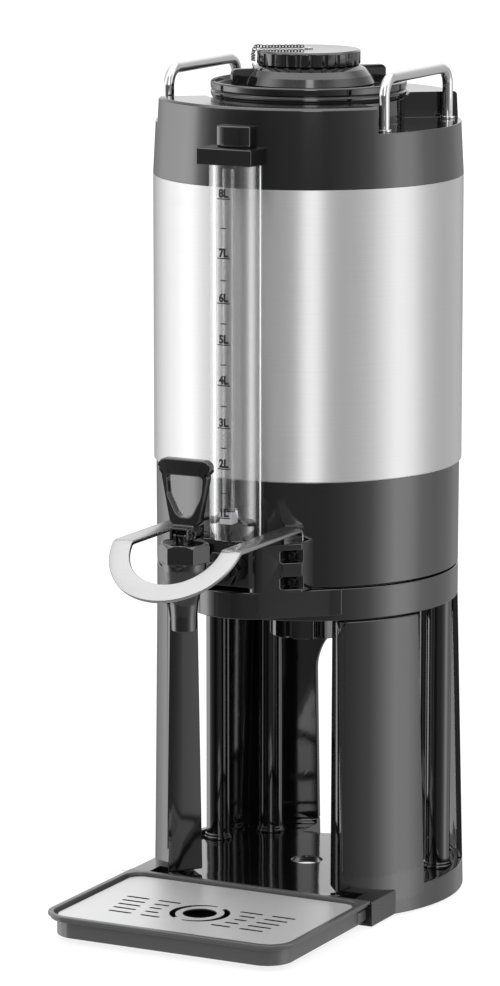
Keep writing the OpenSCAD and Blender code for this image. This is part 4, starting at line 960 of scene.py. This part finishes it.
def leg_stations(side):
    across = Vector((-side, 0, 0))
    x = side * LEG_X
    yield Vector((x, TAB_REAR - GUARD_T / 2, TAB_FOOT)), across, Vector((0, 1, 0))
    for step in range(9):
        a = math.radians(90) * step / 8
        out = Vector((0, math.cos(a), math.sin(a)))
        yield Vector((x, TAB_REAR - BEND_R, LEG_TOP - BEND_R)) + out * (BEND_R - GUARD_T / 2), across, out
    for step in range(6):
        a = SLOPE * step / 5
        out = Vector((0, -math.sin(a), math.cos(a)))
        pivot = Vector((x, LEG_END + SLOPE_RUN, LEG_TOP - SLOPE_R))
        yield pivot + out * (SLOPE_R - GUARD_T / 2), across, out


def ring_stations(count=64):
    out = Vector((0, -math.sin(SLOPE), math.cos(SLOPE)))
    down = Vector((0, -math.cos(SLOPE), -math.sin(SLOPE)))
    middle = Vector((0, LEG_END, LEG_TOP)) - out * GUARD_T / 2
    first = math.asin(SLOPE_RUN / LEG_X) + 0.01
    for step in range(count + 1):
        a = first + (math.pi - 2 * first) * step / count
        spoke = Vector((-math.cos(a), 0, 0)) + down * math.sin(a)
        yield middle + spoke * LEG_X, -spoke, out


stations = [*leg_stations(-1), *ring_stations(), *reversed(list(leg_stations(1)))]
print("guard stations", len(stations))

# %% [markdown]
# A rounded oblong, the cut through the strip, is drawn at each station and skinned to the next.


# %% Bend the guard from one strip
def oblong(width, thick, corner, steps=3):
    points = []
    for quarter, (sx, sy) in enumerate(((1, 1), (-1, 1), (-1, -1), (1, -1))):
        for step in range(steps + 1):
            a = math.radians(90) * (quarter + step / steps)
            points.append((sx * (width / 2 - corner) + corner * math.cos(a),
                           sy * (thick / 2 - corner) + corner * math.sin(a)))
    return points


to_axis = Vector((0, AXIS_Y / MM, 0))
cut = oblong(GUARD_W, GUARD_T, GUARD_ROUND)
work = bmesh.new()
skin(work, [[(middle + across * u + out * v + to_axis) * MM for u, v in cut]
            for middle, across, out in stations])
guard = new_piece("guard_strip", finished_mesh(work, "guard_strip"))
smooth(guard.data, 40)
guard.data.materials.append(LOOKS["guard_steel"])
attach(guard, "container")
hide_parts("guard_bar")
print("guard faces", len(guard.data.polygons))

# %% [markdown]
# ## The chain
#
# A fine chain ties the fill cap to an ear of the lid. It is one link, repeated along a path, each
# turned a quarter against the last: work for Geometry Nodes. The group below takes a path and three
# sizes, puts a hoop of wire at every even step, and aims it along the path.

# %% Open the group of nodes
LINK_SIZES = (("Pitch", 2.325 * MM), ("Link radius", 1.55 * MM), ("Wire radius", 0.38 * MM))


def open_group(name):
    group = bpy.data.node_groups.new(name, "GeometryNodeTree")
    face = group.interface
    face.new_socket("Path", in_out="INPUT", socket_type="NodeSocketGeometry")
    for label, value in LINK_SIZES:
        face.new_socket(label, in_out="INPUT", socket_type="NodeSocketFloat").default_value = value
    material = face.new_socket("Material", in_out="INPUT", socket_type="NodeSocketMaterial")
    face.new_socket("Links", in_out="OUTPUT", socket_type="NodeSocketGeometry")
    return group, material


def add_to(group, kind, *links, **settings):
    node = group.nodes.new(kind)
    for key, value in settings.items():
        setattr(node, key, value)
    for socket, source in links:
        if hasattr(source, "is_output"):
            group.links.new(source, node.inputs[socket])
        else:
            node.inputs[socket].default_value = source
    return node


# %% Wire the links along a path
def wire_links(group):
    def add(kind, *links, **settings):
        return add_to(group, kind, *links, **settings)

    start, end = add("NodeGroupInput"), add("NodeGroupOutput")
    line = add("GeometryNodeMeshToCurve", ("Mesh", start.outputs["Path"]))
    even = add("GeometryNodeResampleCurve", ("Curve", line.outputs[0]), ("Length", start.outputs["Pitch"]),
               mode="LENGTH")
    hoop = add("GeometryNodeCurvePrimitiveCircle", ("Resolution", 20), ("Radius", start.outputs["Link radius"]))
    wire = add("GeometryNodeCurvePrimitiveCircle", ("Resolution", 8), ("Radius", start.outputs["Wire radius"]))
    link = add("GeometryNodeCurveToMesh", ("Curve", hoop.outputs[0]), ("Profile Curve", wire.outputs[0]))
    shaded = add("GeometryNodeSetShadeSmooth", ("Geometry", link.outputs[0]))
    along = add("GeometryNodeInputTangent")
    aimed = add("FunctionNodeAlignRotationToVector", ("Vector", along.outputs[0]), axis="X")
    index = add("GeometryNodeInputIndex")
    odd = add("ShaderNodeMath", (0, index.outputs[0]), (1, 2.0), operation="MODULO")
    roll = add("ShaderNodeMath", (0, odd.outputs[0]), (1, math.pi / 2), (2, math.pi / 4),
               operation="MULTIPLY_ADD")
    spin = add("ShaderNodeCombineXYZ", ("X", roll.outputs[0]))
    turned = add("FunctionNodeRotateRotation", ("Rotation", aimed.outputs[0]), ("Rotate By", spin.outputs[0]),
                 rotation_space="LOCAL")
    row = add("GeometryNodeInstanceOnPoints", ("Points", even.outputs[0]), ("Instance", shaded.outputs[0]),
              ("Rotation", turned.outputs[0]))
    real = add("GeometryNodeRealizeInstances", ("Geometry", row.outputs[0]))
    dressed = add("GeometryNodeSetMaterial", ("Geometry", real.outputs[0]),
                  ("Material", start.outputs["Material"]))
    group.links.new(dressed.outputs[0], end.inputs[0])


# %% [markdown]
# The path has the corners of the solid chain, in millimetres from the container's axis. Its two ends
# ride on different parts, so the piece is blended from the lid at the ear to the cap at its rim, and
# stays with the cap from there on.

# %% Hang the chain
CHAIN_WAY = [(-29.9534, -32.1211, 632.158), (-35.7777, -20.6563, 636.41), (-33.1526, -21.5296, 641.662),
             (-29.1354, -18.9208, 640.902), (-4.31915, -2.80489, 640.902)]
EAR, CAP_RIM = 0, 2


def way_point(i):
    return tuple((Vector(CHAIN_WAY[i]) + to_axis) * MM)


way = bpy.data.meshes.new("chain_way")
way.from_pydata([way_point(i) for i in range(len(CHAIN_WAY))],
                [(i, i + 1) for i in range(len(CHAIN_WAY) - 1)], [])
chain = new_piece("chain_links", way)
group, material = open_group("links_along_a_path")
wire_links(group)
maker = chain.modifiers.new("links", "NODES")
maker.node_group = group
maker[material.identifier] = chain_look
bake(chain)
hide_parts("chain")
way_point(EAR)
way_point(CAP_RIM)
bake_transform(chain)
